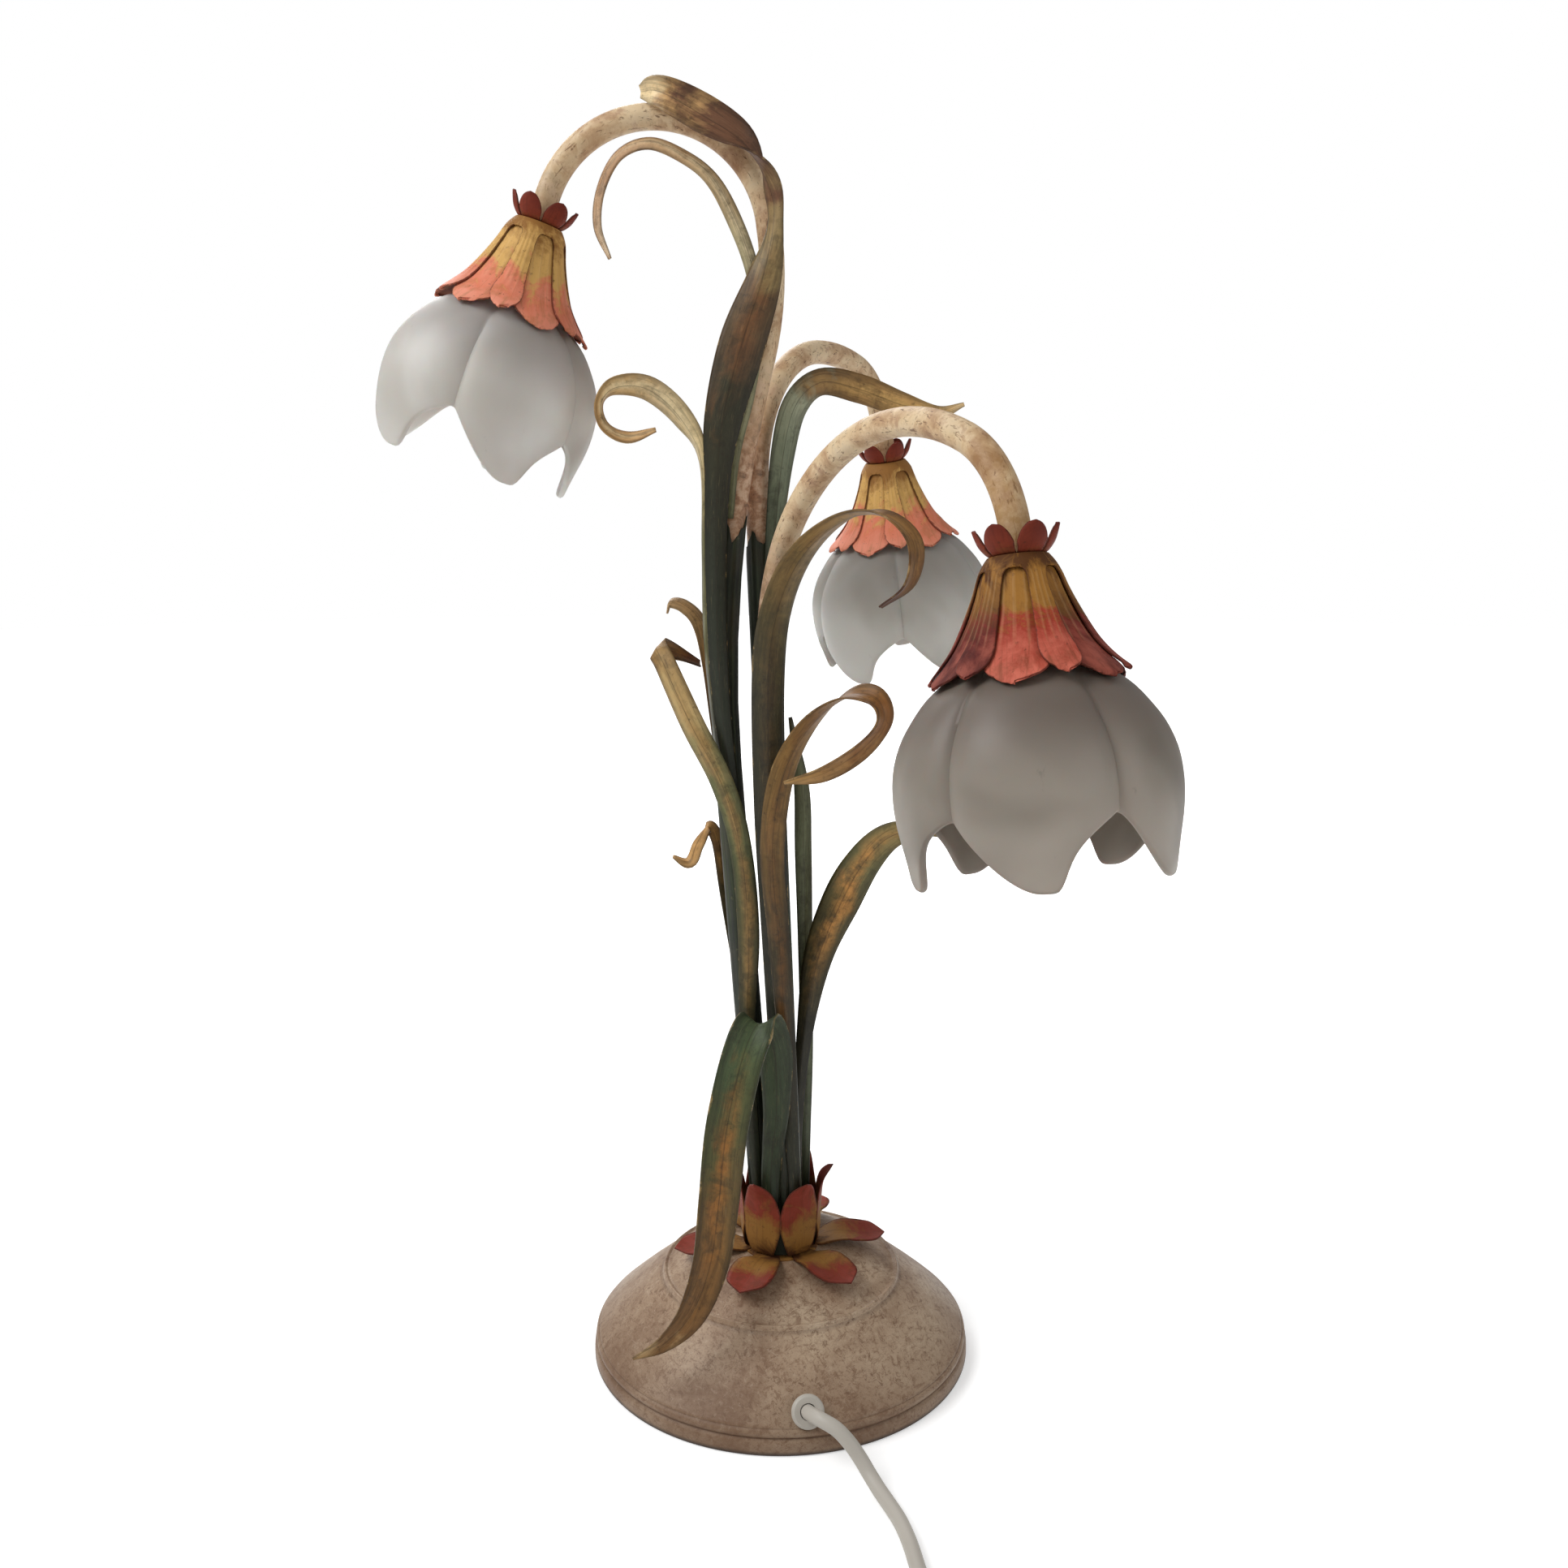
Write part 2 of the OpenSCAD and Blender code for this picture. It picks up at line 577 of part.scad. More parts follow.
module cord_grommet() {
    color([0.85, 0.84, 0.82])
        grommet_place()
        rotate_extrude($fn = round_fn)
            polygon([
                [grommet_bore, -6], [grommet_r, -6], [grommet_r, 0.9], [7.6, 0.9], [8, 1.4], [7.6, 2.4],
                [6.6, grommet_lip], [grommet_bore, grommet_lip],
            ]);
}

module cord_tail() {
    color([0.85, 0.84, 0.82])
        swept_rod(
            spline(concat([cord_exit, grommet_at - 7 * grommet_out], tail_rows, [[3, -38 - seat, 22.5]]), 2),
            cord_z, cord_sides, -grommet_out, [0, 1, 0]);
}

module terminal_block() {
    color([0.9, 0.88, 0.8])
        difference() {
            translate([-13, -38, weight_top])
                cube([26, 14, 12]);
            for (x = [-8, 0, 8])
                translate([x, -31, weight_top + 6])
                    cylinder(h = 10, r = 2, $fn = 32);
        }
}

// ---------- hub and floret ----------

module stem_hub() {
    color([0.2, 0.27, 0.2])
        on_land()
        difference() {
            translate([0, 0, hub_base])
                rotate_extrude($fn = round_fn)
                    polygon([[0, 0], [hub_r, 0], [hub_r, hub_h - 2], [hub_r - 1.5, hub_h], [0, hub_h]]);
            translate([0, 0, hub_base - 1])
                cylinder(h = foot_z - hub_base, r = rod_r + thread_fit, $fn = round_fn);
            translate([0, 0, chamber_z])
                cylinder(h = 2, r = foot_circle, $fn = round_fn);
            for (foot = [tall_foot, back_foot, front_foot]) {
                translate(foot)
                    cylinder(h = hub_h, r = tube_r + slip, $fn = round_fn);
                translate([foot[0], foot[1], chamber_z + 1])
                    cylinder(h = 3, r = tube_bore - 1, $fn = 32);
            }
        }
}

// One petal of the floret: it leaves the disc along +X, with [radius, height, width] rows
module floret_petal(rows) {
    strap([for (a = rows) [a[0], 0, a[1], 0, 1, 0, a[2]]], petal_t, 0.2, flat_rings = 3);
}

module star_disc(r) {
    difference() {
        cylinder(h = floret_t, r = r, $fn = round_fn);
        translate([0, 0, -1])
            cylinder(h = floret_t + 2, r = rod_hole, $fn = round_fn);
    }
}

// The petals are a little thinner than the disc that carries them
floret_petals = 6;
petal_t = floret_t * 0.7;
root_z = (floret_t + petal_t) / 2;

// Drop of the dome below its land at a radius
function dome_drop(r) = crown_r - sqrt(crown_r * crown_r - pow(max(r - land_r, 0), 2));

module floret_flat() {
    mid = flat_reach - 18;
    color([0.75, 0.35, 0.22])
        on_land() {
            star_disc(land_r - 2);
            for (k = [1:floret_petals])
                rotate([0, 0, 9 + 360 * k / floret_petals])
                    floret_petal([
                        [16, root_z, 11], [21, root_z, 14], [30, 3 - dome_drop(30), 18],
                        [mid, 3.5 - dome_drop(mid), 20], [flat_reach - 8, 6 - dome_drop(flat_reach - 8), 14],
                        [flat_reach, 11 - dome_drop(flat_reach), 3],
                    ]);
        }
}

module floret_upright() {
    stand = hub_r + 3;
    color([0.72, 0.32, 0.22])
        on_land()
        translate([0, 0, floret_t]) {
            star_disc(hub_r - 2);
            for (k = [1:floret_petals])
                rotate([0, 0, 360 * k / floret_petals])
                    floret_petal([
                        [hub_r - 4, root_z, 8], [hub_r - 1, root_z, 10],
                        [hub_r + 1.5, root_z + 0.6, 12], [stand + 1, 9, 17],
                        [stand + 1.5, upright_h * 0.5, 20], [stand + 3, upright_h * 0.8, 14],
                        [stand + 8, upright_h, 3],
                    ]);
        }
}

// ---------- stems ----------

module stem(foot, rows) {
    color([0.87, 0.80, 0.66])
        on_land()
        swept_tube(stem_states(foot, rows),
            circle_section(tube_r, tube_sides), circle_section(tube_bore / cos(180 / tube_sides), tube_sides));
}

// Ribbed sheath round a tube, from the top of the hub over the first rows of its bend table
module sheath(foot, rows, count) {
    start = moved(foot_state(foot), sheath_foot);
    covered = concat([rows[0] - [sheath_foot, 0, 0, 0]], [for (i = [1:count - 1]) rows[i]]);
    color([0.2, 0.28, 0.2])
        on_land()
        swept_tube(concat([start], states(start, covered)),
            ribbed_section(sheath_out, rib_h, sheath_sides),
            circle_section(sheath_in / cos(180 / sheath_sides), sheath_sides));
}

module stem_tall() { stem(tall_foot, tall_bends); }
module stem_back() { stem(back_foot, back_bends); }
module stem_front() { stem(front_foot, front_bends); }
module sheath_tall() { sheath(tall_foot, tall_bends, 2); }
module sheath_back() { sheath(back_foot, back_bends, 2); }
module sheath_front() { sheath(front_foot, front_bends, 3); }

// ---------- leaves ----------

green = [0.25, 0.33, 0.2];
olive = [0.4, 0.38, 0.2];
gold = [0.6, 0.5, 0.3];
rust = [0.42, 0.3, 0.16];

module leaf_wrap() { bow_leaf(leaf_wrap_rows, rust); }
module leaf_arch_curl() { bow_leaf(leaf_arch_curl_rows, gold); }
module leaf_left_curl() { leaf(leaf_left_curl_rows, gold); }
module leaf_right_upper() { leaf(leaf_right_upper_rows, olive); }
module leaf_front_right() { leaf(leaf_front_right_rows, green); }
module leaf_loop() { leaf(leaf_loop_rows, rust); }
module leaf_left_bent() { leaf(leaf_left_bent_rows, olive); }
module leaf_back_tip() { leaf(leaf_back_tip_rows, gold); }
module leaf_side_curl() { leaf(leaf_side_curl_rows, gold); }
module leaf_right_lower() { leaf(leaf_right_lower_rows, rust); }
module leaf_foot() { leaf(leaf_foot_rows, olive); }
module leaf_back_right() { leaf(leaf_back_right_rows, green); }

// ---------- flowers ----------

// Places its children at a tube's end, with +Z along the flower's axis towards its mouth
module at_flower(foot, rows) {
    s = end_state(foot_state(foot), rows);
    y = cross(s[2], s[1]);
    on_land()
        multmatrix([
            [s[1][0], y[0], s[2][0], s[0][0]],
            [s[1][1], y[1], s[2][1], s[0][1]],
            [s[1][2], y[2], s[2][2], s[0][2]],
            [0, 0, 0, 1]])
        children();
}

// Outline of a bell below its flat top: [share of its spread, share of its depth]
bell_shape = [
    [0, 0], [0.09, 0.08], [0.15, 0.15], [0.23, 0.26], [0.33, 0.39], [0.45, 0.54], [0.6, 0.7],
    [0.79, 0.85], [1, 1],
];
function bell_line(r_less, z0) = concat(
    [[rod_hole, z0]],
    [for (q = bell_shape)
        [bell_top - r_less + (bell_rim - bell_top) * q[0], z0 + bell_h * q[1]]]);
// The same line set in by the sheet's thickness, square to the sheet
function set_in(line, t) = [for (i = [0:len(line) - 1])
    let (d = slope(line, i)) i == 0 ? line[i] + [0, t] : line[i] + t * [-d[1], d[0]]];

module bell(r_less, z0, turn) {
    line = bell_line(r_less, z0);
    gap_top = z0 + bell_h * 0.36;
    gap_end = z0 + bell_h;
    gap_half = PI * bell_rim / petals;
    difference() {
        rotate_extrude($fn = round_fn)
            polygon(concat(line, rev(set_in(line, sheet_t))));
        for (k = [0:petals - 1])
            rotate([90, 0, 90 + turn + 360 * k / petals])
                linear_extrude(bell_rim + 10)
                    petal_gap(gap_top, gap_end, gap_half);
    }
}

// Slot between two petals: narrow at its round top, opening out round the petals' tips
module petal_gap(low, high, half) {
    rise = high - low;
    shape = [
        [0.5, 0.01], [1.1, 0.05], [1.3, 0.3], [2, 0.55], [3.2, 0.72], [5.4, 0.84], [9, 0.93],
        [half * 0.72, 1], [half, 1.06],
    ];
    polygon(concat(
        [for (q = shape) [q[0], low + rise * q[1]]],
        [for (q = rev(shape)) [-q[0], low + rise * q[1]]]));
}

module bell_outer(turn) {
    color([0.8, 0.42, 0.28])
        bell(0, bell_z, turn);
}

module bell_inner(turn) {
    color([0.66, 0.3, 0.2])
        bell(sheet_t + seat, inner_z, turn + 180 / petals);
}

module calyx(turn) {
    line = [
        [rod_hole, calyx_z], [bell_top * 0.75, calyx_z], [calyx_r * 0.72, calyx_z - calyx_h * 0.12],
        [calyx_r * 0.9, calyx_z - calyx_h * 0.45], [calyx_r, calyx_z - calyx_h],
    ];
    color([0.42, 0.16, 0.12])
        difference() {
            rotate_extrude($fn = round_fn)
                polygon(concat(line, rev([for (p = line) p + (p[0] > bell_top ? [sheet_t, 0] : [0, sheet_t])])));
            for (k = [0:petals - 1])
                rotate([90, 0, 90 + turn + 360 * k / petals])
                    linear_extrude(calyx_r + 10)
                        polygon([
                            [0, -calyx_h * 0.1], [1, -calyx_h * 0.5], [calyx_r * 0.2, -calyx_h * 0.8],
                            [calyx_r * 0.46, -calyx_h * 1.1], [-calyx_r * 0.46, -calyx_h * 1.1],
                            [-calyx_r * 0.2, -calyx_h * 0.8], [-1, -calyx_h * 0.5],
                        ]);
        }
}

module nipple() {
    color([0.75, 0.72, 0.6]) {
        difference() {
            translate([0, 0, -nipple_in])
                cylinder(h = nipple_in + holder_z + 8, r = rod_r, $fn = round_fn);
            translate([0, 0, -nipple_in - 1])
                cylinder(h = nipple_in + holder_z + 10, r = rod_bore, $fn = round_fn);
        }
        translate([0, 0, flower_nut_z])
            difference() {
                cylinder(h = flower_nut_h, r = 8.4, $fn = 6);
                translate([0, 0, -1])
                    cylinder(h = flower_nut_h + 2, r = rod_r + thread_fit, $fn = round_fn);
            }
    }
}

module holder() {
    color([0.9, 0.88, 0.82])
        rotate_extrude($fn = round_fn)
            polygon([
                [rod_r + thread_fit, holder_z], [9, holder_z], [9.5, holder_z + 6], [12.6, holder_z + 9],
                [12.6, flange_z], [holder_flange, flange_z], [holder_flange, flange_z + flange_t],
                [holder_r, flange_z + flange_t], [holder_r, holder_end], [cap_cavity, holder_end],
                [cap_cavity, cap_z], [rod_bore, cap_z], [rod_bore, holder_z + 9],
                [rod_r + thread_fit, holder_z + 9],
            ]);
}

module shade_ring() {
    color([0.9, 0.88, 0.82])
        translate([0, 0, shade_ring_z])
        difference() {
            cylinder(h = shade_ring_h, r = holder_r + 3.5, $fn = round_fn);
            translate([0, 0, -1])
                cylinder(h = shade_ring_h + 2, r = holder_r + 0.1, $fn = round_fn);
        }
}

module bulb() {
    neck = holder_end + seat;
    mid = neck + 5 + bulb_r;
    color("gold")
        translate([0, 0, cap_z + seat])
        cylinder(h = neck - cap_z - seat, r = cap_r, $fn = round_fn);
    color([1, 0.97, 0.9])
        rotate_extrude($fn = round_fn)
            polygon(concat(
                [[0, neck], [9.5, neck]],
                [for (a = [-50:10:90]) [bulb_r * cos(a), mid + bulb_r * sin(a)]]));
}

// Outline of the glass from its neck to a tip: [share of the largest radius, share of its length]
shade_shape = [
    [0.36, 0.01], [0.5, 0.06], [0.62, 0.13], [0.73, 0.21], [0.83, 0.29], [0.92, 0.38], [0.98, 0.49],
    [1, 0.6], [0.985, 0.72], [0.94, 0.86], [0.9, 1],
];
function shade_line() = concat(
    [[shade_neck, glass_z]],
    [for (p = shade_shape) [p[0] * shade_r, lerp(glass_z, shade_end, p[1])]]);
// Share of the full outline that the glass keeps at an angle within one petal, from 0 to 1
tip_at = 0.4;
function rim_share(f) = 1 - 0.24 * (f < tip_at ?
    pow((tip_at - f) / tip_at, 0.8) : pow((f - tip_at) / (1 - tip_at), 1.6));
function crease_at(f) = pow(abs(2 * f - 1), 3);
function along(line, u) =
    let (x = u * (len(line) - 1), i = min(floor(x), len(line) - 2)) lerp(line[i], line[i + 1], x - i);

shade_levels = [0, 0.1, 0.22, 0.34, 0.46, 0.58, 0.7, 0.8, 0.9, 1];
function shade_ring_points(level, inset) = [for (k = [0:shade_sides - 1])
    let (
        f = (k * shade_petals / shade_sides) % 1,
        u = level * rim_share(f),
        p = along(shade_line(), u),
        d = unit(along(shade_line(), min(u + 0.06, 1)) - along(shade_line(), max(u - 0.06, 0))),
        r = p[0] - inset * d[1] - shade_pinch * crease_at(f) * min(1, 2 * u),
        z = p[1] + inset * d[0],
        a = 360 * k / shade_sides
    )
    [r * cos(a), r * sin(a), z]];

module shade(turn) {
    color([0.93, 0.93, 0.93])
        rotate([0, 0, turn])
        hollow_mesh(
            [for (level = shade_levels) shade_ring_points(level, 0)],
            [for (level = shade_levels) shade_ring_points(level, glass_t)]);
}

// Turns of the calyx, the bells and the glass of each flower about its axis
tall_turns = [14, -6, 18];
back_turns = [33, 58, 45];
front_turns = [40, 45, 40];

module at_tall() { at_flower(tall_foot, tall_bends) children(); }
module at_back() { at_flower(back_foot, back_bends) children(); }
module at_front() { at_flower(front_foot, front_bends) children(); }

module tall_calyx() { at_tall() calyx(tall_turns[0]); }
module tall_bell_outer() { at_tall() bell_outer(tall_turns[1]); }
module tall_bell_inner() { at_tall() bell_inner(tall_turns[1]); }
module tall_nipple() { at_tall() nipple(); }
module tall_holder() { at_tall() holder(); }
module tall_shade_ring() { at_tall() shade_ring(); }
module tall_shade() { at_tall() shade(tall_turns[2]); }
module tall_bulb() { at_tall() bulb(); }
module back_calyx() { at_back() calyx(back_turns[0]); }
module back_bell_outer() { at_back() bell_outer(back_turns[1]); }
module back_bell_inner() { at_back() bell_inner(back_turns[1]); }
module back_nipple() { at_back() nipple(); }
module back_holder() { at_back() holder(); }
module back_shade_ring() { at_back() shade_ring(); }
module back_shade() { at_back() shade(back_turns[2]); }
module back_bulb() { at_back() bulb(); }
module front_calyx() { at_front() calyx(front_turns[0]); }
module front_bell_outer() { at_front() bell_outer(front_turns[1]); }
module front_bell_inner() { at_front() bell_inner(front_turns[1]); }
module front_nipple() { at_front() nipple(); }
module front_holder() { at_front() holder(); }
module front_shade_ring() { at_front() shade_ring(); }
module front_shade() { at_front() shade(front_turns[2]); }
module front_bulb() { at_front() bulb(); }

// ---------- cord, switch and plug ----------

switch_in = [switch_at[0], switch_at[1], cord_z];
switch_out = switch_in - [0, switch_len + 2 * switch_boss, 0];
run_path = spline(concat(
    [cord_exit, cord_exit + 5 * grommet_out],
    [for (row = cord_rows) [row[0], -base_r - row[1], row[2]]],
    [switch_in + [0, 5, 0], switch_in]), 2);

// Flat spiral inwards, a climb round the turning point, and the spiral outwards on top
turns_total = 2 * coil_turns;
function coil_level(n) = abs(n - coil_turns);
function coil_climb(n) = min(1, max(0, n - coil_turns + 0.25) * 2);
function coil_point(n) =
    let (
        r = coil_r - coil_pitch * (coil_turns - coil_level(n)),
        climb = coil_climb(n),
        a = -90 - 360 * n
    )
    [coil_at[0] + r * cos(a), coil_at[1] + r * sin(a),
        cord_z + coil_pitch * climb * climb * (3 - 2 * climb)];
loops_path = [for (i = [0:turns_total * coil_rings]) coil_point(i / coil_rings)];

// Quarter turn of radius r from heading -Y to heading -X, starting at p
function quarter_in(p, r, n) = [for (k = [0:n]) let (a = 90 * k / n) p + r * [cos(a) - 1, -sin(a), 0]];
link_r = switch_out[1] - switch_boss - (coil_at[1] - coil_r);
link_path = concat([switch_out], quarter_in(switch_out - [0, switch_boss, 0], link_r, 6));

plug_z = plug_h / 2;
plug_end = [plug_at[0], plug_at[1], plug_z];
tail_from = last(loops_path);
tail_r = 34;
tail_path = [
    tail_from - [20, 1.5, 2], tail_from - [38, 3, 6],
    [plug_at[0] + tail_r * 0.75, tail_from[1] - 1, cord_z],
    [plug_at[0] + tail_r * 0.3, tail_from[1] + tail_r * 0.14, cord_z + 0.5],
    [plug_at[0] + tail_r * 0.05, tail_from[1] + tail_r * 0.5, plug_z - 1.5],
    plug_end - [0, 6, 0], plug_end,
];
coil_path = concat(link_path, loops_path, tail_path);

function run_length(p, i = 0, sum = 0) = i >= len(p) - 1 ? sum : run_length(p, i + 1, sum + norm(p[i + 1] - p[i]));
cord_length = run_length(run_path) + switch_len + 2 * switch_boss + run_length(coil_path);
// Least distance between the coil's own surfaces, measured between points half a loop or more apart
half_loop = coil_rings / 2;
coil_gap = min([for (i = [0:len(coil_path) - half_loop - 1], j = [i + half_loop:len(coil_path) - 1])
    norm(coil_path[i] - coil_path[j])]) - cord_d;
echo(cord_length = cord_length, coil_gap = coil_gap);

module cord_run() {
    color([0.85, 0.84, 0.82])
        swept_rod(run_path, cord_z, cord_sides, grommet_out, [0, -1, 0]);
}

module cord_coil() {
    color([0.85, 0.84, 0.82])
        swept_rod(coil_path, cord_z, cord_sides, [0, -1, 0], [0, 1, 0]);
}

// Flat outline with two round ends, along Y
module stadium(w, l) {
    union() {
        translate([-w / 2, -(l - w) / 2])
            square([w, l - w]);
        for (s = [-1, 1])
            translate([0, s * (l - w) / 2])
                circle(d = w, $fn = round_fn);
    }
}

rocker_z = switch_h - rocker_r + 3;
pivot_r = 1.6;
rocker_tilt = rocker_travel / 2;

module switch_place() {
    translate([switch_at[0], switch_at[1] - switch_boss - switch_len / 2, 0])
        children();
}

module switch_housing() {
    color([0.88, 0.87, 0.85])
        difference() {
            union() {
                switch_place()
                    linear_extrude(switch_h)
                        stadium(switch_w, switch_len);
                translate(switch_in)
                    rotate([90, 0, 0])
                        cylinder(h = switch_len + 2 * switch_boss, r = cord_z - slip, $fn = round_fn);
            }
            switch_place()
                translate([0, 0, rocker_z])
                    rotate([0, 90, 0]) {
                        cylinder(h = rocker_w + 2 * seat, r = rocker_r + seat, center = true, $fn = round_fn);
                        cylinder(h = rocker_w + 8, r = pivot_r + thread_fit, center = true, $fn = 32);
                    }
            switch_place()
                translate([0, 0, switch_h * 0.55])
                    difference() {
                        cube([switch_w + 4, switch_len + 4, 0.5], center = true);
                        linear_extrude(2, center = true)
                            stadium(switch_w - 1, switch_len - 1);
                    }
        }
}

module switch_rocker() {
    color([0.8, 0.79, 0.77])
        switch_place()
        translate([0, 0, rocker_z])
        rotate([rocker_tilt, 0, 0])
        union() {
            difference() {
                rotate([0, 90, 0])
                    cylinder(h = rocker_w, r = rocker_r, center = true, $fn = round_fn);
                for (s = [-1, 1])
                    rotate([s * rocker_tilt, 0, 0])
                        translate([-rocker_w, s > 0 ? 0 : -2 * rocker_r, rocker_r * 0.62])
                            cube([2 * rocker_w, 2 * rocker_r, rocker_r]);
            }
            rotate([0, 90, 0])
                cylinder(h = rocker_w + 7, r = pivot_r, center = true, $fn = 32);
        }
}

module plug_body() {
    start = plug_at[1];
    color([0.85, 0.84, 0.82])
        translate([plug_at[0], start, plug_z])
        rotate([-90, 0, 0])
        union() {
            difference() {
                cylinder(h = relief_len, r1 = cord_z + 0.9, r2 = cord_z + 2.6, $fn = round_fn);
                for (k = [1:4])
                    translate([0, 0, k * 4])
                        difference() {
                            cylinder(h = 1.4, r = 10, $fn = 32);
                            translate([0, 0, -1])
                                cylinder(h = 4, r = cord_z + 0.6, $fn = 32);
                        }
            }
            intersection() {
                translate([0, 0, relief_len])
                    cylinder(h = plug_body_len, r1 = plug_w * 0.3, r2 = plug_w * 0.62, $fn = round_fn);
                translate([0, 0, relief_len])
                    linear_extrude(plug_body_len)
                        rotate(90)
                        stadium(plug_h, plug_w);
            }
        }
}

module plug_pins() {
    color("silver")
        for (s = [-1, 1])
            translate([plug_at[0] + s * pin_gap / 2, plug_at[1] + relief_len + plug_body_len, plug_z])
                rotate([-90, 0, 0])
                    cylinder(h = pin_len, r = pin_r, $fn = 32);
}

base_dome();
base_weight();
felt_pad();
hub_nipple();
base_nuts();
cord_grommet();
cord_tail();
terminal_block();
stem_hub();
floret_flat();
floret_upright();
stem_tall();
stem_back();
stem_front();
sheath_tall();
sheath_back();
sheath_front();
leaf_wrap();
leaf_arch_curl();
leaf_left_curl();
leaf_right_upper();
leaf_front_right();
leaf_loop();
leaf_left_bent();
leaf_back_tip();
leaf_side_curl();
leaf_right_lower();
leaf_foot();
leaf_back_right();
tall_calyx();
tall_bell_outer();
tall_bell_inner();
tall_nipple();
tall_holder();
tall_shade_ring();
tall_shade();
tall_bulb();
back_calyx();
back_bell_outer();
back_bell_inner();
back_nipple();
back_holder();
back_shade_ring();
back_shade();
back_bulb();
front_calyx();
front_bell_outer();
front_bell_inner();
front_nipple();
front_holder();
front_shade_ring();
front_shade();
front_bulb();
cord_run();
switch_housing();
switch_rocker();
cord_coil();
plug_body();
plug_pins();
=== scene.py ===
import math

import bmesh
import bpy
import numpy as np
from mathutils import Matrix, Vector


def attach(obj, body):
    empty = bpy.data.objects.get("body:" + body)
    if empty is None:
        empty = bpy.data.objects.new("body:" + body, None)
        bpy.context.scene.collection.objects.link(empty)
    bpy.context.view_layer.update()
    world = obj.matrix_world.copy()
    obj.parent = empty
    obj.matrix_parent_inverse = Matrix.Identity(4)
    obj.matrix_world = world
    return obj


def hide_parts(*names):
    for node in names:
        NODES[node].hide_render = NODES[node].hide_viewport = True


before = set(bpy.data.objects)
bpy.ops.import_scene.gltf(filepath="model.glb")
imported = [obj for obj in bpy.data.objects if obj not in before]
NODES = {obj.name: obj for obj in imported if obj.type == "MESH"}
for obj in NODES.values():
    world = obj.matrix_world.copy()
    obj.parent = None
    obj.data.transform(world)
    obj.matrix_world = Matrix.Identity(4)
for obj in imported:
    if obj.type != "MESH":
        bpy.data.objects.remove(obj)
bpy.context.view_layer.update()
MM = 0.001

# ---------- camera, at the photograph's viewing angle ----------

CAMERA_AT, CAMERA_DOWN, LENS, SENSOR = (0.0018, -0.705, 0.437), 10.5, 32.609, 36

camera_data = bpy.data.cameras.new("camera")
camera_data.lens = LENS
camera_data.sensor_width = SENSOR
camera_data.clip_start = 0.01
camera = bpy.data.objects.new("camera", camera_data)
camera.location = CAMERA_AT
camera.rotation_euler = (math.radians(90 - CAMERA_DOWN), 0, 0)
bpy.context.scene.collection.objects.link(camera)
bpy.context.scene.camera = camera

# ---------- vectors, splines and bends, in millimetres as in the part's source ----------


def vec(*v):
    return np.array(v, float)


def unit(v):
    return v / np.linalg.norm(v)


def spline(rows, steps):
    """Catmull-Rom values through rows, with steps values from each row to the next."""
    p = np.array(rows, float)
    p = np.vstack([2 * p[0] - p[1], p, 2 * p[-1] - p[-2]])
    t = (np.arange(steps) / steps)[:, None]
    out = []
    for i in range(1, len(p) - 2):
        a, b, c, d = p[i - 1 : i + 3]
        bend, twist = 2 * a - 5 * b + 4 * c - d, 3 * b - a - 3 * c + d
        out.append(0.5 * (2 * b + (c - a) * t + bend * t**2 + twist * t**3))
    return np.vstack(out + [p[-2:-1]])


def headings(path):
    d = np.gradient(path, axis=0)
    return d / np.linalg.norm(d, axis=1)[:, None]


def lengths(path):
    return np.concatenate([[0], np.cumsum(np.linalg.norm(np.diff(path, axis=0), axis=1))])


def turned(x, y, angle):
    return x * math.cos(angle) + y * math.sin(angle)


def smooth(x):
    """0 below 0, 1 above 1 and a soft step between."""
    x = np.clip(x, 0, 1)
    return x * x * (3 - 2 * x)


BASE_H = 56
LAND = vec(0, 0, BASE_H)
FOOT_CIRCLE, FOOT_Z = 9.3, 8
# Each row of a bend table: straight run, turn about the tube, bend radius, bend angle
TALL_BENDS = [
    [14, 180, 150, 4.2], [228, 180, 600, 12], [0, 0, 600, 6], [9, 176, 164, 22.4], [0, 0, 55.5, 90],
    [0, 0, 53, 62.4], [12, 0, 0, 0],
]
BACK_BENDS = [
    [14, 165, 150, 2.6], [348, 0, 0, 0], [20, 58.5 - 165, 71, 85], [0, 0, 121, 20], [0, 0, 39, 65],
    [20, 0, 0, 0],
]
FRONT_BENDS = [
    [14, 185, 150, 2.3], [250, 180, 150, 2.3], [28, 0, 0, 0], [7, -61 - 185 - 180, 93, 45],
    [0, 0, 123, 66], [0, 0, 53, 59], [4, 0, 0, 0],
]
# Azimuth of each stem's foot, its bends, and how many of their rows the sheath covers
STEMS = {
    "tall": (180, TALL_BENDS, 2),
    "back": (60, BACK_BENDS, 2),
    "front": (-60, FRONT_BENDS, 3),
}
ARC_STEP, RUN_STEP = 3, 8


def foot_of(azimuth):
    a = math.radians(azimuth)
    return LAND + vec(FOOT_CIRCLE * math.cos(a), FOOT_CIRCLE * math.sin(a), FOOT_Z)


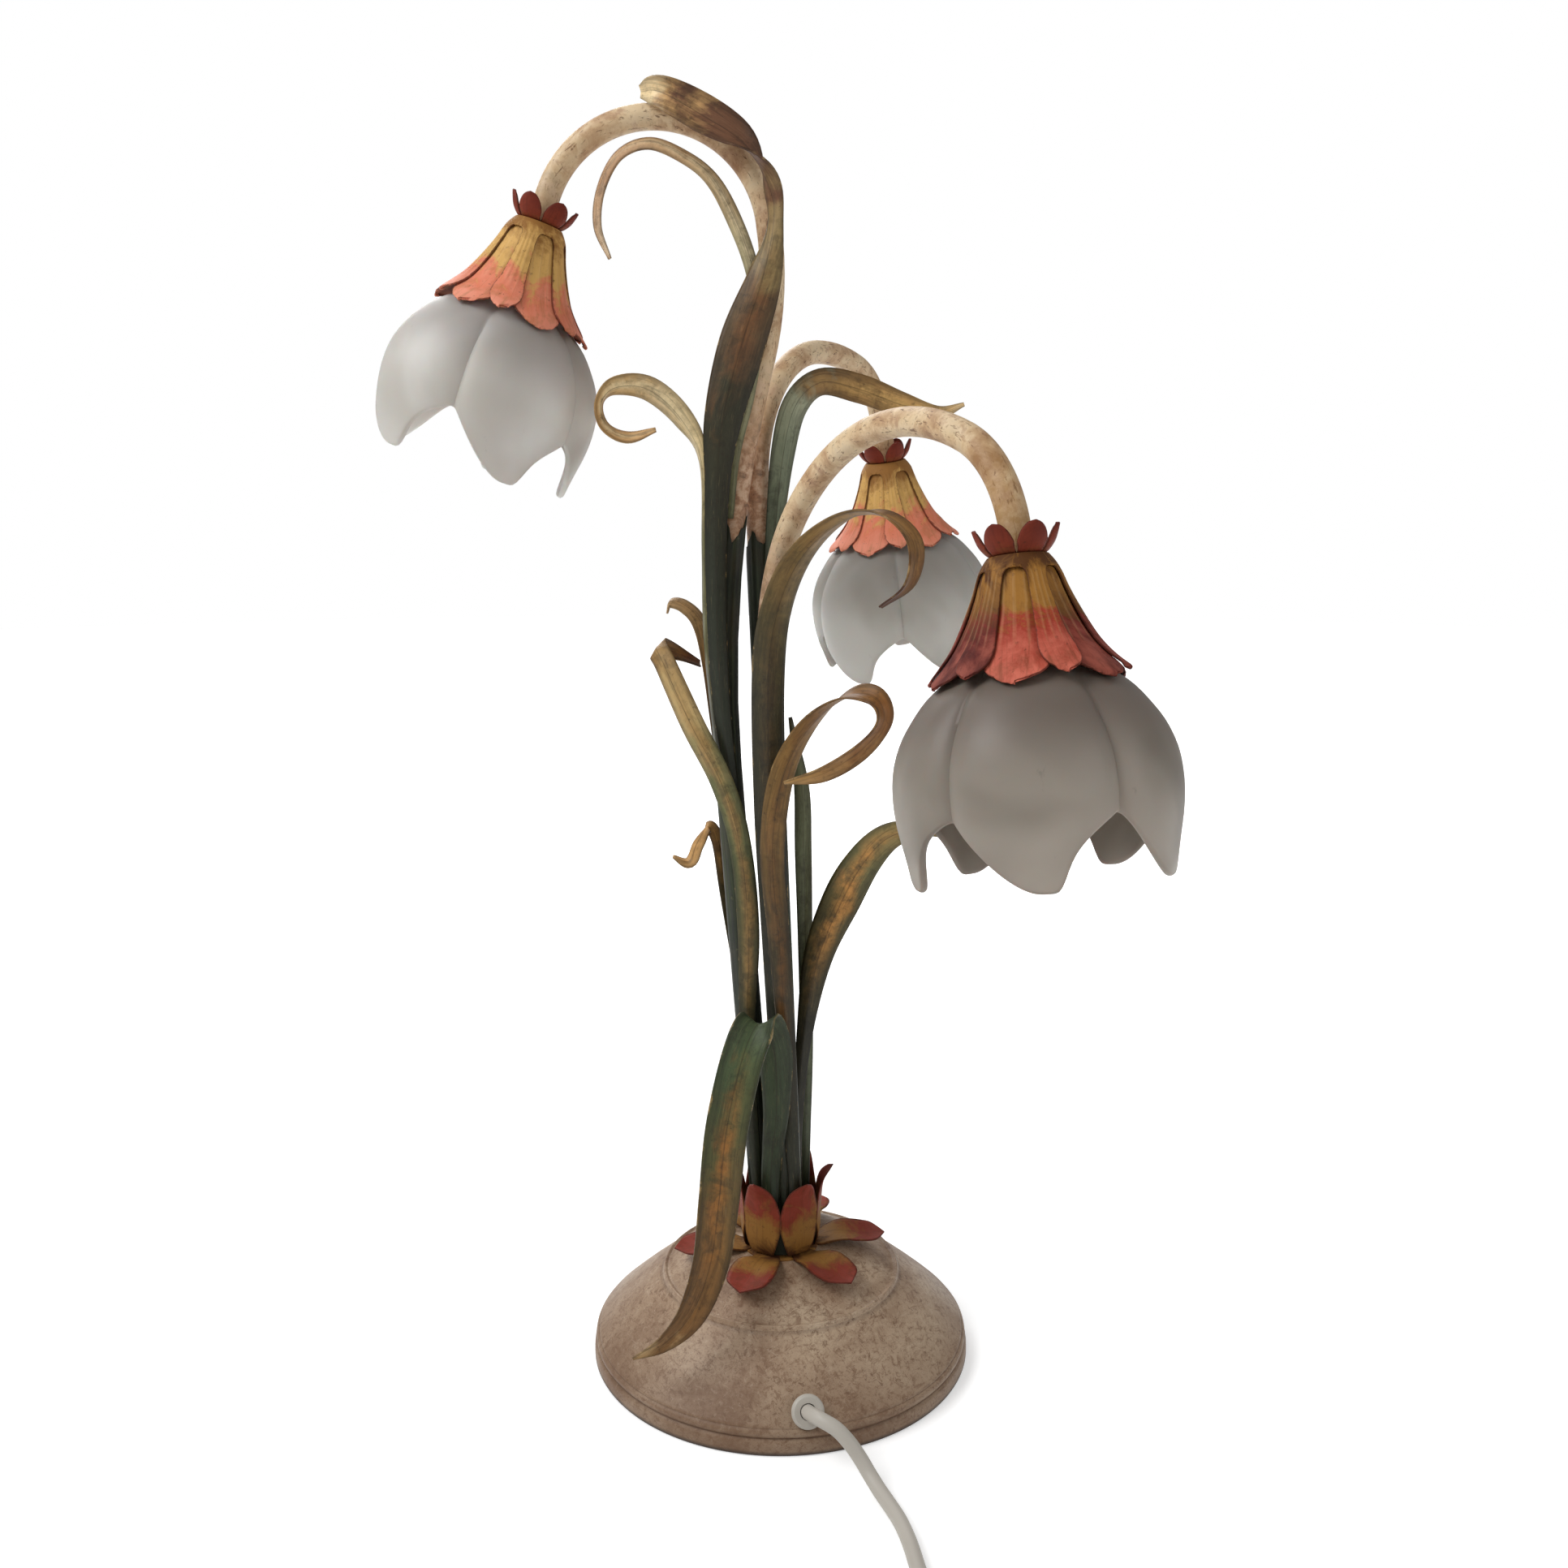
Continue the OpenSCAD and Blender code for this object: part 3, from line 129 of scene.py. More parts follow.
def follow(foot, rows):
    """Frames [position, side, heading, arc length] along a bend table.

    The side is free of the table's turns.
    """
    p, x, z, turn, s = foot, vec(1, 0, 0), vec(0, 0, 1), 0.0, 0.0
    out = [(p, x, z, s)]

    def keep():
        out.append((p, turned(x, np.cross(z, x), -turn), z, s))

    for run, spin, radius, angle in rows:
        n = max(1, int(math.ceil(run / RUN_STEP))) if run > 0 else 0
        for _ in range(n):
            p, s = p + z * run / n, s + run / n
            keep()
        x = turned(x, np.cross(z, x), math.radians(spin))
        turn += math.radians(spin)
        n = int(math.ceil(angle / ARC_STEP))
        p0, x0, z0, s0 = p, x, z, s
        for i in range(1, n + 1):
            a = math.radians(angle) * i / n
            p = p0 + radius * (1 - math.cos(a)) * x0 + radius * math.sin(a) * z0
            x, z = x0 * math.cos(a) - z0 * math.sin(a), z0 * math.cos(a) + x0 * math.sin(a)
            s = s0 + radius * a
            keep()
    return out, (p, x, z)


# ---------- meshes ----------

WELD_GAP, WELD_EDGE = 0.002, 48
TUBE_SIDES = 40
SHEET_FIELDS = ("along", "across", "rest", "crease", "tone")


def soften(mesh, edge):
    """Smooth shading, with sharp edges from the angle edge in degrees, or with none at 0."""
    mesh.shade_smooth()
    if edge:
        mesh.set_sharp_from_angle(angle=math.radians(edge))


def add(name, points, faces, material, stands_for, fields=None, edge=0):
    """A new piece from points in millimetres. fields are numbers or vectors, one for each point."""
    mesh = bpy.data.meshes.new(name)
    mesh.from_pydata((np.asarray(points) * MM).tolist(), [], faces)
    for key, values in (fields or {}).items():
        values = np.asarray(values, np.float32)
        kind, word = ("FLOAT_VECTOR", "vector") if values.ndim == 2 else ("FLOAT", "value")
        mesh.attributes.new(key, kind, "POINT").data.foreach_set(word, values.ravel())
    mesh.materials.append(material)
    soften(mesh, edge)
    piece = bpy.data.objects.new(name, mesh)
    bpy.context.scene.collection.objects.link(piece)
    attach(piece, "lamp")
    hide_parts(stands_for)
    return piece


def grid(rows, cols, start=0, wrap=False, close=False):
    """Faces of a grid of points in row order. wrap joins the last column to the first, close the rows."""
    faces = [
        (start + r * cols + c, start + r * cols + (c + 1) % cols,
         start + (r + 1) * cols + (c + 1) % cols, start + (r + 1) * cols + c)
        for r in range(rows - 1) for c in range(cols if wrap else cols - 1)
    ]
    last = (rows - 1) * cols
    if close:
        faces += [(last + c, last + (c + 1) % cols, (c + 1) % cols, c) for c in range(cols)]
    return faces


def spun(profile, sides):
    """Points of a profile [radius, height] turned about the upright axis."""
    angles = np.arange(sides) * 2 * math.pi / sides
    return [(r * math.cos(a), r * math.sin(a), z) for r, z in profile for a in angles]


def thicken(piece, depth, offset=-1):
    modifier = piece.modifiers.new("thickness", "SOLIDIFY")
    modifier.thickness = depth * MM
    modifier.offset = offset
    modifier.use_quality_normals = True


def weld(piece):
    bm = bmesh.new()
    bm.from_mesh(piece.data)
    bmesh.ops.remove_doubles(bm, verts=bm.verts, dist=WELD_GAP * MM)
    bmesh.ops.recalc_face_normals(bm, faces=bm.faces)
    bm.to_mesh(piece.data)
    bm.free()
    soften(piece.data, WELD_EDGE)


def tube_points(frames, outer, inner):
    """Rings along frames and back along the bore. outer and inner give [radius, shift] at [angle, arc]."""
    angles = np.arange(TUBE_SIDES) * 2 * math.pi / TUBE_SIDES
    order = [(f, outer) for f in frames] + [(f, inner) for f in reversed(frames)]
    rings, rest = [], []
    for (p, x, z, s), wall in order:
        y = np.cross(z, x)
        for a in angles:
            r, lift = wall(a, s)
            rings.append(p + r * (math.cos(a) * x + math.sin(a) * y) + lift * z)
            rest.append((r * math.cos(a) * MM, r * math.sin(a) * MM, (s + lift) * MM))
    return rings, grid(len(order), TUBE_SIDES, wrap=True, close=True), rest


class Sheet:
    """Points and faces of sheet metal, with the fields that its paint reads at each point."""

    def __init__(self):
        self.points, self.faces = [], []
        self.fields = {key: [] for key in SHEET_FIELDS}

    def put(self, point, along=0, across=0, rest=(0, 0, 0), crease=0, tone=0):
        self.points.append(point)
        for key, value in zip(SHEET_FIELDS, (along, across, rest, crease, tone)):
            self.fields[key].append(value)

    def piece(self, name, material, slot, stands_for, flower=None):
        """The sheet as a piece of the lamp, or as one of a flower."""
        points = place(flower, self.points) if flower else self.points
        return add(name, points, self.faces, material, stands_for, self.fields)


# ---------- materials ----------


def srgb(colour):
    """The linear colour of three sRGB values from 0 to 255. Anything else stays as it is."""
    if not isinstance(colour, tuple) or len(colour) != 3:
        return colour
    return tuple(((c / 255 + 0.055) / 1.055) ** 2.4 if c > 10 else c / 255 / 12.92 for c in colour) + (1,)


class Paint:
    """A node material with short calls for the nodes that the paints share."""

    def __init__(self, name, roughness=0.5, metallic=0.0, **sockets):
        self.material = bpy.data.materials.new(name)
        self.material.use_nodes = True
        self.tree = self.material.node_tree
        self.shader = self.tree.nodes["Principled BSDF"]
        self.shader.inputs["Roughness"].default_value = roughness
        self.shader.inputs["Metallic"].default_value = metallic
        for key, value in sockets.items():
            self.shader.inputs[key.replace("_", " ")].default_value = value
        self.coordinates = self.make("ShaderNodeTexCoord").outputs["Object"]
        self.height = None

    def make(self, kind, links=None, **settings):
        made = self.tree.nodes.new(kind)
        for key, value in settings.items():
            setattr(made, key, value)
        for key, value in (links or {}).items():
            self.put(made.inputs[key], value)
        return made

    def put(self, socket, value):
        if isinstance(value, bpy.types.NodeSocket):
            self.tree.links.new(value, socket)
        elif value is not None:
            socket.default_value = value

    def field(self, name, output="Fac"):
        return self.make("ShaderNodeAttribute", attribute_name=name).outputs[output]

    def patch(self, seed=0.0):
        """The flat sheet's own coordinates, moved so that pieces don't share their marks."""
        return self.stretch(self.field("rest", "Vector"), (1, 1, 1), (seed, seed * 0.7, seed * 0.3))

    def stretch(self, vector, scale, move=(0, 0, 0)):
        links = {"Vector": vector, "Scale": scale, "Location": move}
        return self.make("ShaderNodeMapping", links).outputs[0]

    def noise(self, scale, detail=4.0, rough=0.55, vector=None, twist=0.0):
        links = {"Vector": self.coordinates if vector is None else vector, "Scale": scale, "Detail": detail,
                 "Roughness": rough, "Distortion": twist}
        return self.make("ShaderNodeTexNoise", links).outputs["Fac"]

    def strokes(self, vector, scale, detail, rough, twist=0.0):
        """Noise that is long where scale is low."""
        return self.noise(1, detail, rough, self.stretch(vector, scale), twist)

    def sums(self, kind, *values):
        made = self.make("ShaderNodeMath", operation=kind)
        for socket, value in zip(made.inputs, values):
            self.put(socket, value)
        return made.outputs[0]

    def times(self, first, *others):
        for value in others:
            first = self.sums("MULTIPLY", first, value)
        return first

    def stirred(self, value, noise, amount):
        """value pushed up and down by a noise."""
        return self.sums("MULTIPLY_ADD", self.sums("SUBTRACT", noise, 0.5), amount, value)

    def span(self, value, low, high, to_low=0.0, to_high=1.0):
        """value mapped smoothly from low..high to to_low..to_high, and held outside."""
        links = {"Value": value, "From Min": low, "From Max": high, "To Min": to_low, "To Max": to_high}
        return self.make("ShaderNodeMapRange", links, interpolation_type="SMOOTHSTEP").outputs[0]

    def ramp(self, value, *stops):
        made = self.make("ShaderNodeValToRGB", {"Fac": value})
        band = made.color_ramp
        while len(band.elements) < len(stops):
            band.elements.new(0.5)
        for element, (at, colour) in zip(band.elements, stops):
            element.position = at
            element.color = srgb(colour)
        return made.outputs["Color"]

    def mix(self, share, a, b):
        made = self.make("ShaderNodeMix", data_type="RGBA")
        for place, value in zip((0, 6, 7), (share, srgb(a), srgb(b))):
            self.put(made.inputs[place], value)
        return made.outputs[2]

    def over(self, body, colour, value, low, high, share):
        """colour laid over body, from nothing where value is low to share where it is high."""
        return self.mix(self.span(value, low, high, 0, share), body, colour)

    def bump(self, height, strength, distance):
        """A height in millimetres of distance, on top of earlier bumps."""
        links = {"Height": height, "Strength": strength, "Distance": distance * MM, "Normal": self.height}
        self.height = self.make("ShaderNodeBump", links).outputs[0]

    def done(self, colour, roughness=None):
        for key, value in ("Base Color", srgb(colour)), ("Roughness", roughness), ("Normal", self.height):
            self.put(self.shader.inputs[key], value)
        return self.material

    def worn(self, body, cloud, start, end):
        """The finished material, with a roughness that goes from start to end where cloud rises."""
        return self.done(body, self.span(cloud, 0.3, 0.7, start, end))


def cream_paint():
    """Cream paint over brown, mottled, with fine scratches, browner where the field dirt is high."""
    p = Paint("cream_paint", Specular_IOR_Level=0.35)
    rest = p.patch()
    cloud = p.noise(60, 6, 0.65, rest, 0.6)
    blot = p.noise(150, 5, 0.65, rest, 0.4)
    fine = p.noise(360, 4, 0.7, rest)
    scratch = p.strokes(rest, (700, 700, 190), 4, 0.65, 0.7)
    body = p.ramp(cloud, (0.3, (152, 114, 82)), (0.44, (196, 163, 126)), (0.56, (220, 195, 157)),
                  (0.72, (233, 213, 178)))
    body = p.over(body, (164, 124, 96), blot, 0.52, 0.68, 0.6)
    body = p.over(body, (134, 98, 72), fine, 0.56, 0.7, 0.5)
    body = p.over(body, (104, 70, 48), scratch, 0.58, 0.66, 0.8)
    stain = p.ramp(blot, (0.38, (94, 62, 44)), (0.5, (162, 118, 90)), (0.62, (208, 176, 148)))
    body = p.over(body, stain, p.stirred(p.field("dirt_and_shade"), cloud, 1.4), 0.05, 0.75, 0.85)
    body = p.mix(p.times(p.field("gold"), p.span(blot, 0.35, 0.6, 0.9, 0.4)), body, (158, 118, 62))
    p.bump(fine, 0.25, 0.3)
    p.bump(scratch, 0.3, 0.2)
    return p.worn(body, cloud, 0.58, 0.44)


def green_paint():
    """Nearly black green paint in long streaks."""
    p = Paint("green_paint", Specular_IOR_Level=0.3)
    rest = p.patch()
    streak = p.strokes(rest, (480, 480, 16), 6, 0.65, 0.5)
    cloud = p.noise(38, 5, 0.6, rest, 0.4)
    fine = p.noise(420, 4, 0.7, rest)
    body = p.ramp(streak, (0.32, (17, 19, 13)), (0.48, (34, 40, 27)), (0.62, (54, 62, 40)),
                  (0.78, (88, 92, 62)))
    body = p.over(body, (52, 44, 26), cloud, 0.46, 0.68, 0.6)
    body = p.over(body, (96, 92, 62), fine, 0.62, 0.74, 0.5)
    p.bump(streak, 0.4, 0.5)
    p.bump(fine, 0.2, 0.2)
    return p.worn(body, cloud, 0.58, 0.44)


def leaf_paint(name, stops, band, reach, seed):
    """Paint in the colours of stops from root to tip, with a soft band of worn colour along the midrib."""
    p = Paint(name, Specular_IOR_Level=0.3)
    along, across, rest = p.field("along"), p.field("across"), p.patch(seed)
    streak = p.strokes(rest, (420, 420, 34), 6, 0.65, 0.8)
    hair = p.strokes(rest, (1500, 1500, 120), 4, 0.6, 0.5)
    cloud = p.noise(40, 6, 0.62, rest, 0.6)
    blot = p.noise(110, 5, 0.65, rest, 0.5)
    fine = p.noise(340, 4, 0.7, rest)
    at = p.stirred(along, cloud, 0.3)
    body = p.ramp(at, *stops)
    start, end, share = reach
    off_rib = p.sums("ABSOLUTE", p.stirred(across, cloud, 1.8))
    worn = p.times(p.span(off_rib, 0.05, 0.8, share, 0), p.span(at, start - 0.1, start + 0.1),
                   p.span(at, end - 0.12, end + 0.1, 1, 0), p.span(blot, 0.36, 0.56, 0.5, 1))
    body = p.mix(worn, body, p.mix(p.span(fine, 0.35, 0.65), band, tuple(c * 0.82 for c in band)))
    body = p.over(body, (22, 18, 10), blot, 0.5, 0.34, 0.3575)
    body = p.over(body, (28, 22, 12), streak, 0.54, 0.4, 0.34)
    body = p.over(body, (206, 180, 128), hair, 0.56, 0.7, 0.07)
    body = p.over(body, (40, 28, 14), fine, 0.6, 0.72, 0.5)
    rib = p.sums("ABSOLUTE", across)
    side = p.stirred(rib, blot, 0.7)
    # Painted shade darkens each leaf towards its edges; the very rim turns lighter
    body = p.over(body, (20, 17, 10), side, 0.5, 0.95, 0.4125)
    body = p.over(body, (186, 156, 106), side, 1.0, 1.12, 0.6)
    body = p.over(body, (40, 28, 15), rib, 0.06, 0.0, 0.5)
    p.bump(streak, 0.3, 0.5)
    p.bump(blot, 0.25, 0.5)
    p.bump(fine, 0.2, 0.2)
    return p.worn(body, cloud, 0.56, 0.4)


def petal_paint(name, top, dark, middle, end, change, seed, spread=0.1):
    """Blotchy paint from top at a petal's root over middle to end at its tip, with faint creases as painted
    highlights, and darkened by painted shade where a petal faces sideways.
    """
    p = Paint(name, Specular_IOR_Level=0.14)
    along, rest = p.field("along"), p.patch(seed)
    cloud = p.noise(58, 7, 0.68, rest, 0.8)
    blot = p.noise(150, 4, 0.6, rest, 0.3)
    fine = p.noise(480, 4, 0.65, rest)
    streak = p.strokes(rest, (700, 700, 60), 5, 0.62, 0.5)
    body = p.ramp(p.stirred(along, cloud, 1.35), (change - 0.42, dark), (change - 0.22, top),
                  (change - 0.02, top), (change + spread, middle), (0.97, end))
    body = p.over(body, dark, blot, 0.5, 0.68, 0.3025)
    body = p.over(body, dark, streak, 0.5, 0.68, 0.3)
    body = p.over(body, (70, 42, 28), fine, 0.6, 0.74, 0.55)
    # Painted shade, dark red, on the petals that face sideways
    body = p.mix(p.times(p.field("tone"), p.span(cloud, 0.3, 0.6, 1, 0.6)), body, (58, 18, 18))
    # Painted highlight along the petals' creases
    light = p.sums("MULTIPLY_ADD", fine, 0.6, p.field("crease"))
    body = p.over(body, (228, 190, 140), light, 0.7, 1.3, 0.12)
    side = p.stirred(p.sums("ABSOLUTE", p.field("across")), fine, 0.3)
    body = p.over(body, (70, 34, 24), side, 0.9, 1.0, 0.7)
    p.bump(cloud, 0.2, 0.5)
    p.bump(streak, 0.25, 0.3)
    p.bump(fine, 0.2, 0.2)
    return p.worn(body, cloud, 0.66, 0.54)


def base_paint():
    """Taupe paint brushed with brown in short crossed strokes, flecked, with painted shade in the grooves,
    under the embossed ring and at the bottom, and darker towards the bottom as painted shade.
    """
    p = Paint("base_paint", Specular_IOR_Level=0.3)

    def brushed(angle, scale):
        links = {"Vector": p.coordinates, "Axis": (0.2, 0.1, 1), "Angle": angle}
        return p.strokes(p.make("ShaderNodeVectorRotate", links).outputs[0], scale, 7, 0.76, 0.7)

    left, right = brushed(0.75, (310, 105, 310)), brushed(-0.55, (340, 120, 340))
    brush = p.sums("MAXIMUM", left, right)
    hair = p.sums("MAXIMUM", brushed(0.3, (900, 340, 900)), brushed(-1.2, (1000, 380, 1000)))
    fleck = p.noise(240, 6, 0.78, None, 0.3)
    cloud = p.noise(20, 6, 0.62, None, 0.4)
    body = p.ramp(cloud, (0.34, (130, 103, 81)), (0.46, (156, 131, 107)), (0.56, (173, 149, 124)),
                  (0.7, (190, 168, 142)))
    body = p.over(body, (118, 88, 66), brush, 0.52, 0.62, 0.62)
    body = p.over(body, (204, 185, 162), p.sums("MINIMUM", left, right), 0.44, 0.34, 0.3)
    body = p.over(body, (98, 70, 51), hair, 0.55, 0.65, 0.5)
    body = p.over(body, (104, 76, 56), fleck, 0.55, 0.64, 0.65)
    # Painted shade in the grooves, broken up by the flecks
    dirt_and_shade = p.sums("MULTIPLY_ADD", fleck, 0.5, p.field("groove"))
    body = p.over(body, (72, 50, 37), dirt_and_shade, 0.45, 1.15, 0.75)
    # Painted shade: darker towards the bottom, darkest at the edge on the table
    height = p.make("ShaderNodeSeparateXYZ", {"Vector": p.coordinates}).outputs["Z"]
    body = p.over(body, (104, 78, 58), height, 0.046, 0.005, 0.5)
    body = p.over(body, (40, 29, 22), height, 0.0028, 0.0004, 0.85)
    p.bump(brush, 0.25, 0.4)
    p.bump(fleck, 0.25, 0.3)
    return p.worn(body, cloud, 0.54, 0.42)


def plastic(name, colour, roughness):
    p = Paint(name)
    fine = p.noise(900, 3)
    body = p.over(colour, (150, 144, 132), p.noise(30, 3), 0.35, 0.7, 0.12)
    p.bump(fine, 0.12, 0.1)
    return p.worn(body, fine, roughness - 0.06, roughness + 0.06)


def metal(name, colour, roughness, metallic=1.0):
    p = Paint(name, metallic=metallic)
    fine = p.strokes(p.coordinates, (900, 900, 120), 4, 0.6)
    p.bump(fine, 0.15, 0.1)
    body = p.over(colour, (70, 62, 52), fine, 0.4, 0.7, 0.25)
    return p.worn(body, fine, roughness - 0.08, roughness + 0.1)


def felt():
    p = Paint("felt", 0.95, Sheen_Weight=0.4)
    fibres = p.noise(1400, 5, 0.7)
    p.bump(fibres, 0.6, 0.5)
    return p.done(p.ramp(fibres, (0.3, (28, 44, 34)), (0.7, (62, 84, 66))))


def frosted_glass(name, colour, shadow, neck_shade, seed):
    """Satin glass in soft clouds from colour to shadow, with painted shade of the given strength at its
    neck under the bell, and with rubbed marks.
    """
    p = Paint(name, Transmission_Weight=0.35, IOR=1.4, Subsurface_Weight=0.25, Subsurface_Scale=0.01)
    rest = p.stretch(p.coordinates, (1, 1, 1), (seed, seed, seed))
    cloud = p.noise(14, 3, 0.5, rest, 0.4)
    body = p.over(colour, shadow, cloud, 0.36, 0.68, 1)
    # Painted shade under the bell, darkest at the glass's neck
    body = p.over(body, (98, 80, 70), p.stirred(p.field("along"), cloud, 0.3), 0.58, 0.2, neck_shade)
    marks = p.strokes(rest, (190, 190, 70), 5, 0.72, 0.8)
    body = p.over(body, (112, 108, 100), marks, 0.66, 0.76, 0.4)
    p.bump(p.noise(1500, 2, 0.5, rest), 0.1, 0.06)
    return p.worn(body, cloud, 0.44, 0.56)


CREAM = cream_paint()
GREEN = green_paint()
BASE = base_paint()
CORD = plastic("cord_plastic", (184, 178, 168), 0.5)
WHITE = plastic("switch_plastic", (230, 228, 222), 0.3)
IVORY = plastic("holder_plastic", (228, 222, 206), 0.28)
BLOCK = plastic("block_plastic", (222, 216, 200), 0.5)
OPAL = plastic("bulb_opal", (238, 234, 224), 0.3)
BRASS = metal("brass", (196, 164, 96), 0.34)
STEEL = metal("plated_steel", (196, 196, 194), 0.32)
IRON = metal("cast_iron", (72, 70, 70), 0.62, 0.6)
FELT = felt()

# ---------- cord, switch and plug ----------

GROMMET_AT = vec(13, -93, 19)
GROMMET_AZ, GROMMET_RISE = math.radians(-82), math.radians(28)
GROMMET_OUT = vec(
    math.cos(GROMMET_AZ) * math.cos(GROMMET_RISE), math.sin(GROMMET_AZ) * math.cos(GROMMET_RISE),
    math.sin(GROMMET_RISE))
CORD_D, CORD_Z, SWITCH_LEN, SWITCH_BOSS = 7, 3.5, 58, 3
CORD_EXIT = GROMMET_AT + 3 * GROMMET_OUT
SWITCH_AT, COIL_AT, PLUG_AT = vec(60, -198), vec(-6, -250), vec(-92, -270)
COIL_R, COIL_PITCH, COIL_TURNS, COIL_STEPS = 49, 7.6, 3, 24
PLUG_Z, TAIL_R = 8, 34

CORD_ROWS = [
    [19, -108, 25], [26, -112, 23], [32, -115, 18], [37, -118, 12], [41, -122, 7], [45, -129, 4.2],
    [49, -138, 3.5], [53, -149, 3.5], [56, -162, 3.5], [58, -176, 3.5], [59.5, -188, 3.5],
]
TAIL_ROWS = [[11, -81, 13.5], [9, -68, 13.5], [6, -52, 19], [3, -44, 22], [3, -38.3, 22.5]]
switch_in = vec(*SWITCH_AT, CORD_Z)
switch_out = switch_in - vec(0, SWITCH_LEN + 2 * SWITCH_BOSS, 0)
run_rows = [CORD_EXIT, CORD_EXIT + 5 * GROMMET_OUT] + CORD_ROWS + [switch_in + vec(0, 5, 0), switch_in]


def coil_point(n):
    """The cord's middle after n turns: inwards on the table, then one cord higher and outwards."""
    r = COIL_R - COIL_PITCH * (COIL_TURNS - abs(n - COIL_TURNS))
    climb = COIL_PITCH * smooth((n - COIL_TURNS + 0.25) * 2)
    a = math.radians(-90 - 360 * n)
    return vec(COIL_AT[0] + r * math.cos(a), COIL_AT[1] + r * math.sin(a), CORD_Z + climb)


loops = [coil_point(i / COIL_STEPS) for i in range(2 * COIL_TURNS * COIL_STEPS + 1)]
link_r = switch_out[1] - SWITCH_BOSS - (COIL_AT[1] - COIL_R)
link_from = switch_out - vec(0, SWITCH_BOSS, 0)
link = [switch_out] + [
    link_from + link_r * vec(math.cos(a) - 1, -math.sin(a), 0) for a in np.radians(np.arange(7) * 15)
]
tail_from = loops[-1]
plug_end = vec(*PLUG_AT, PLUG_Z)
tail = [
    tail_from - vec(20, 1.5, 2), tail_from - vec(38, 3, 6),
    vec(PLUG_AT[0] + TAIL_R * 0.75, tail_from[1] - 1, CORD_Z),
    vec(PLUG_AT[0] + TAIL_R * 0.3, tail_from[1] + TAIL_R * 0.14, CORD_Z + 0.5),
    vec(PLUG_AT[0] + TAIL_R * 0.05, tail_from[1] + TAIL_R * 0.5, PLUG_Z - 1.5),
    plug_end - vec(0, 6, 0), plug_end,
]


def cord_curve(name, rows, steps, stands_for):
    """A cord piece through rows, and its length in metres."""
    path = spline(rows, steps)
    data = bpy.data.curves.new(name, "CURVE")
    data.dimensions = "3D"
    line = data.splines.new("POLY")
    line.points.add(len(path) - 1)
    for point, p in zip(line.points, path):
        point.co = (*(p * MM), 1)
    data.bevel_depth = CORD_D / 2 * MM
    data.bevel_resolution = 6
    data.use_fill_caps = True
    data.materials.append(CORD)
    piece = bpy.data.objects.new(name, data)
    bpy.context.scene.collection.objects.link(piece)
    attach(piece, "lamp")
    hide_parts(stands_for)
    return piece, float(lengths(path)[-1]) * MM


run_cord, run_length = cord_curve("cord_to_switch", run_rows, 5, "cord_run")
coil_cord, coil_length = cord_curve("cord_to_plug", link + loops + tail, 3, "cord_coil")
cord_curve("cord_in_base", [CORD_EXIT, GROMMET_AT - 7 * GROMMET_OUT] + TAIL_ROWS, 5, "cord_tail")

# ---------- base ----------

LAND_R, RING_R, CROWN_DROP = 22, 62.5, 13.5
BASE_R, BAND_H, DOME_WALL, ROD_HOLE = 100, 13, 1.2, 5.3
DOME_SIDES, DOME_EDGE = 160, 40
# The embossed ring starts at this share of the crown, runs past its end and swells upwards
EMBOSS_FROM, EMBOSS_LENGTH, EMBOSS_SWELL = 0.93, 1.45, 1.8
# Height, radius and painted shade of the band's ridges and rim, down to the table
RIM_LINE = [
    (12.6, 97.4, 0.6), (12.1, 98.2, 0.1), (11.2, 98.9, 0), (10.2, 99.1, 0), (9.2, 98.9, 0.1),
    (8.6, 98.4, 0.5), (8.1, 98.2, 0.8), (7.6, 98.6, 0.4), (7, 99.3, 0), (6.2, 99.7, 0), (4.6, 99.9, 0),
    (3.2, 100, 0), (2, 100, 0), (0.6, 100, 0.5), (0, 99.7, 1),
]
crown_dr = RING_R - LAND_R
crown_r = (crown_dr**2 + CROWN_DROP**2) / (2 * CROWN_DROP)
crown_slope = math.asin(crown_dr / crown_r)
crown_end = vec(RING_R, BASE_H - CROWN_DROP)
crown_out = vec(math.sin(crown_slope), math.cos(crown_slope))
shoulder_d = vec(BASE_R - 2.5, BAND_H) - crown_end
shoulder_r = shoulder_d @ shoulder_d / (-2 * (shoulder_d @ crown_out))
shoulder_stop = 2 * math.asin(np.linalg.norm(shoulder_d) / (2 * shoulder_r)) + crown_slope


def crown(a):
    return vec(LAND_R + crown_r * math.sin(a), BASE_H - crown_r * (1 - math.cos(a)))


def shoulder(a):
    return crown_end + shoulder_r * (vec(math.sin(a), math.cos(a)) - crown_out)


dome_line = [vec(ROD_HOLE, BASE_H)]
dome_line += [crown(crown_slope * t) for t in np.linspace(0, EMBOSS_FROM, 22)]
# Painted shade along the profile: in the grooves, under the embossed ring and at the bottom edge
groove_shades = [0.0] * len(dome_line)
emboss_start = dome_line[-1]
for t in np.linspace(0.1, 1, 14):
    swell = EMBOSS_SWELL * math.sin(math.pi * t) ** 2
    dome_line.append(emboss_start + (crown_end - emboss_start) * EMBOSS_LENGTH * t + swell * vec(0.3, 1))
    groove_shades.append(0.5 if t > 0.85 else 0.25 if t < 0.2 else 0.0)
shoulder_turn = shoulder_stop - crown_slope
dome_line += [shoulder(crown_slope + shoulder_turn * t) for t in np.linspace(0.06, 0.995, 40)]
groove_shades += [0.4] + [0.0] * 39
dome_line = np.array(dome_line + [vec(r, z) for z, r, _ in RIM_LINE])
groove_shades += [groove for _, _, groove in RIM_LINE] + [0.0] * len(dome_line)
dome_slope = headings(dome_line)
dome_inside = dome_line + DOME_WALL * np.stack([dome_slope[:, 1], -dome_slope[:, 0]], 1)
dome_inside[0] = (ROD_HOLE, BASE_H - DOME_WALL)
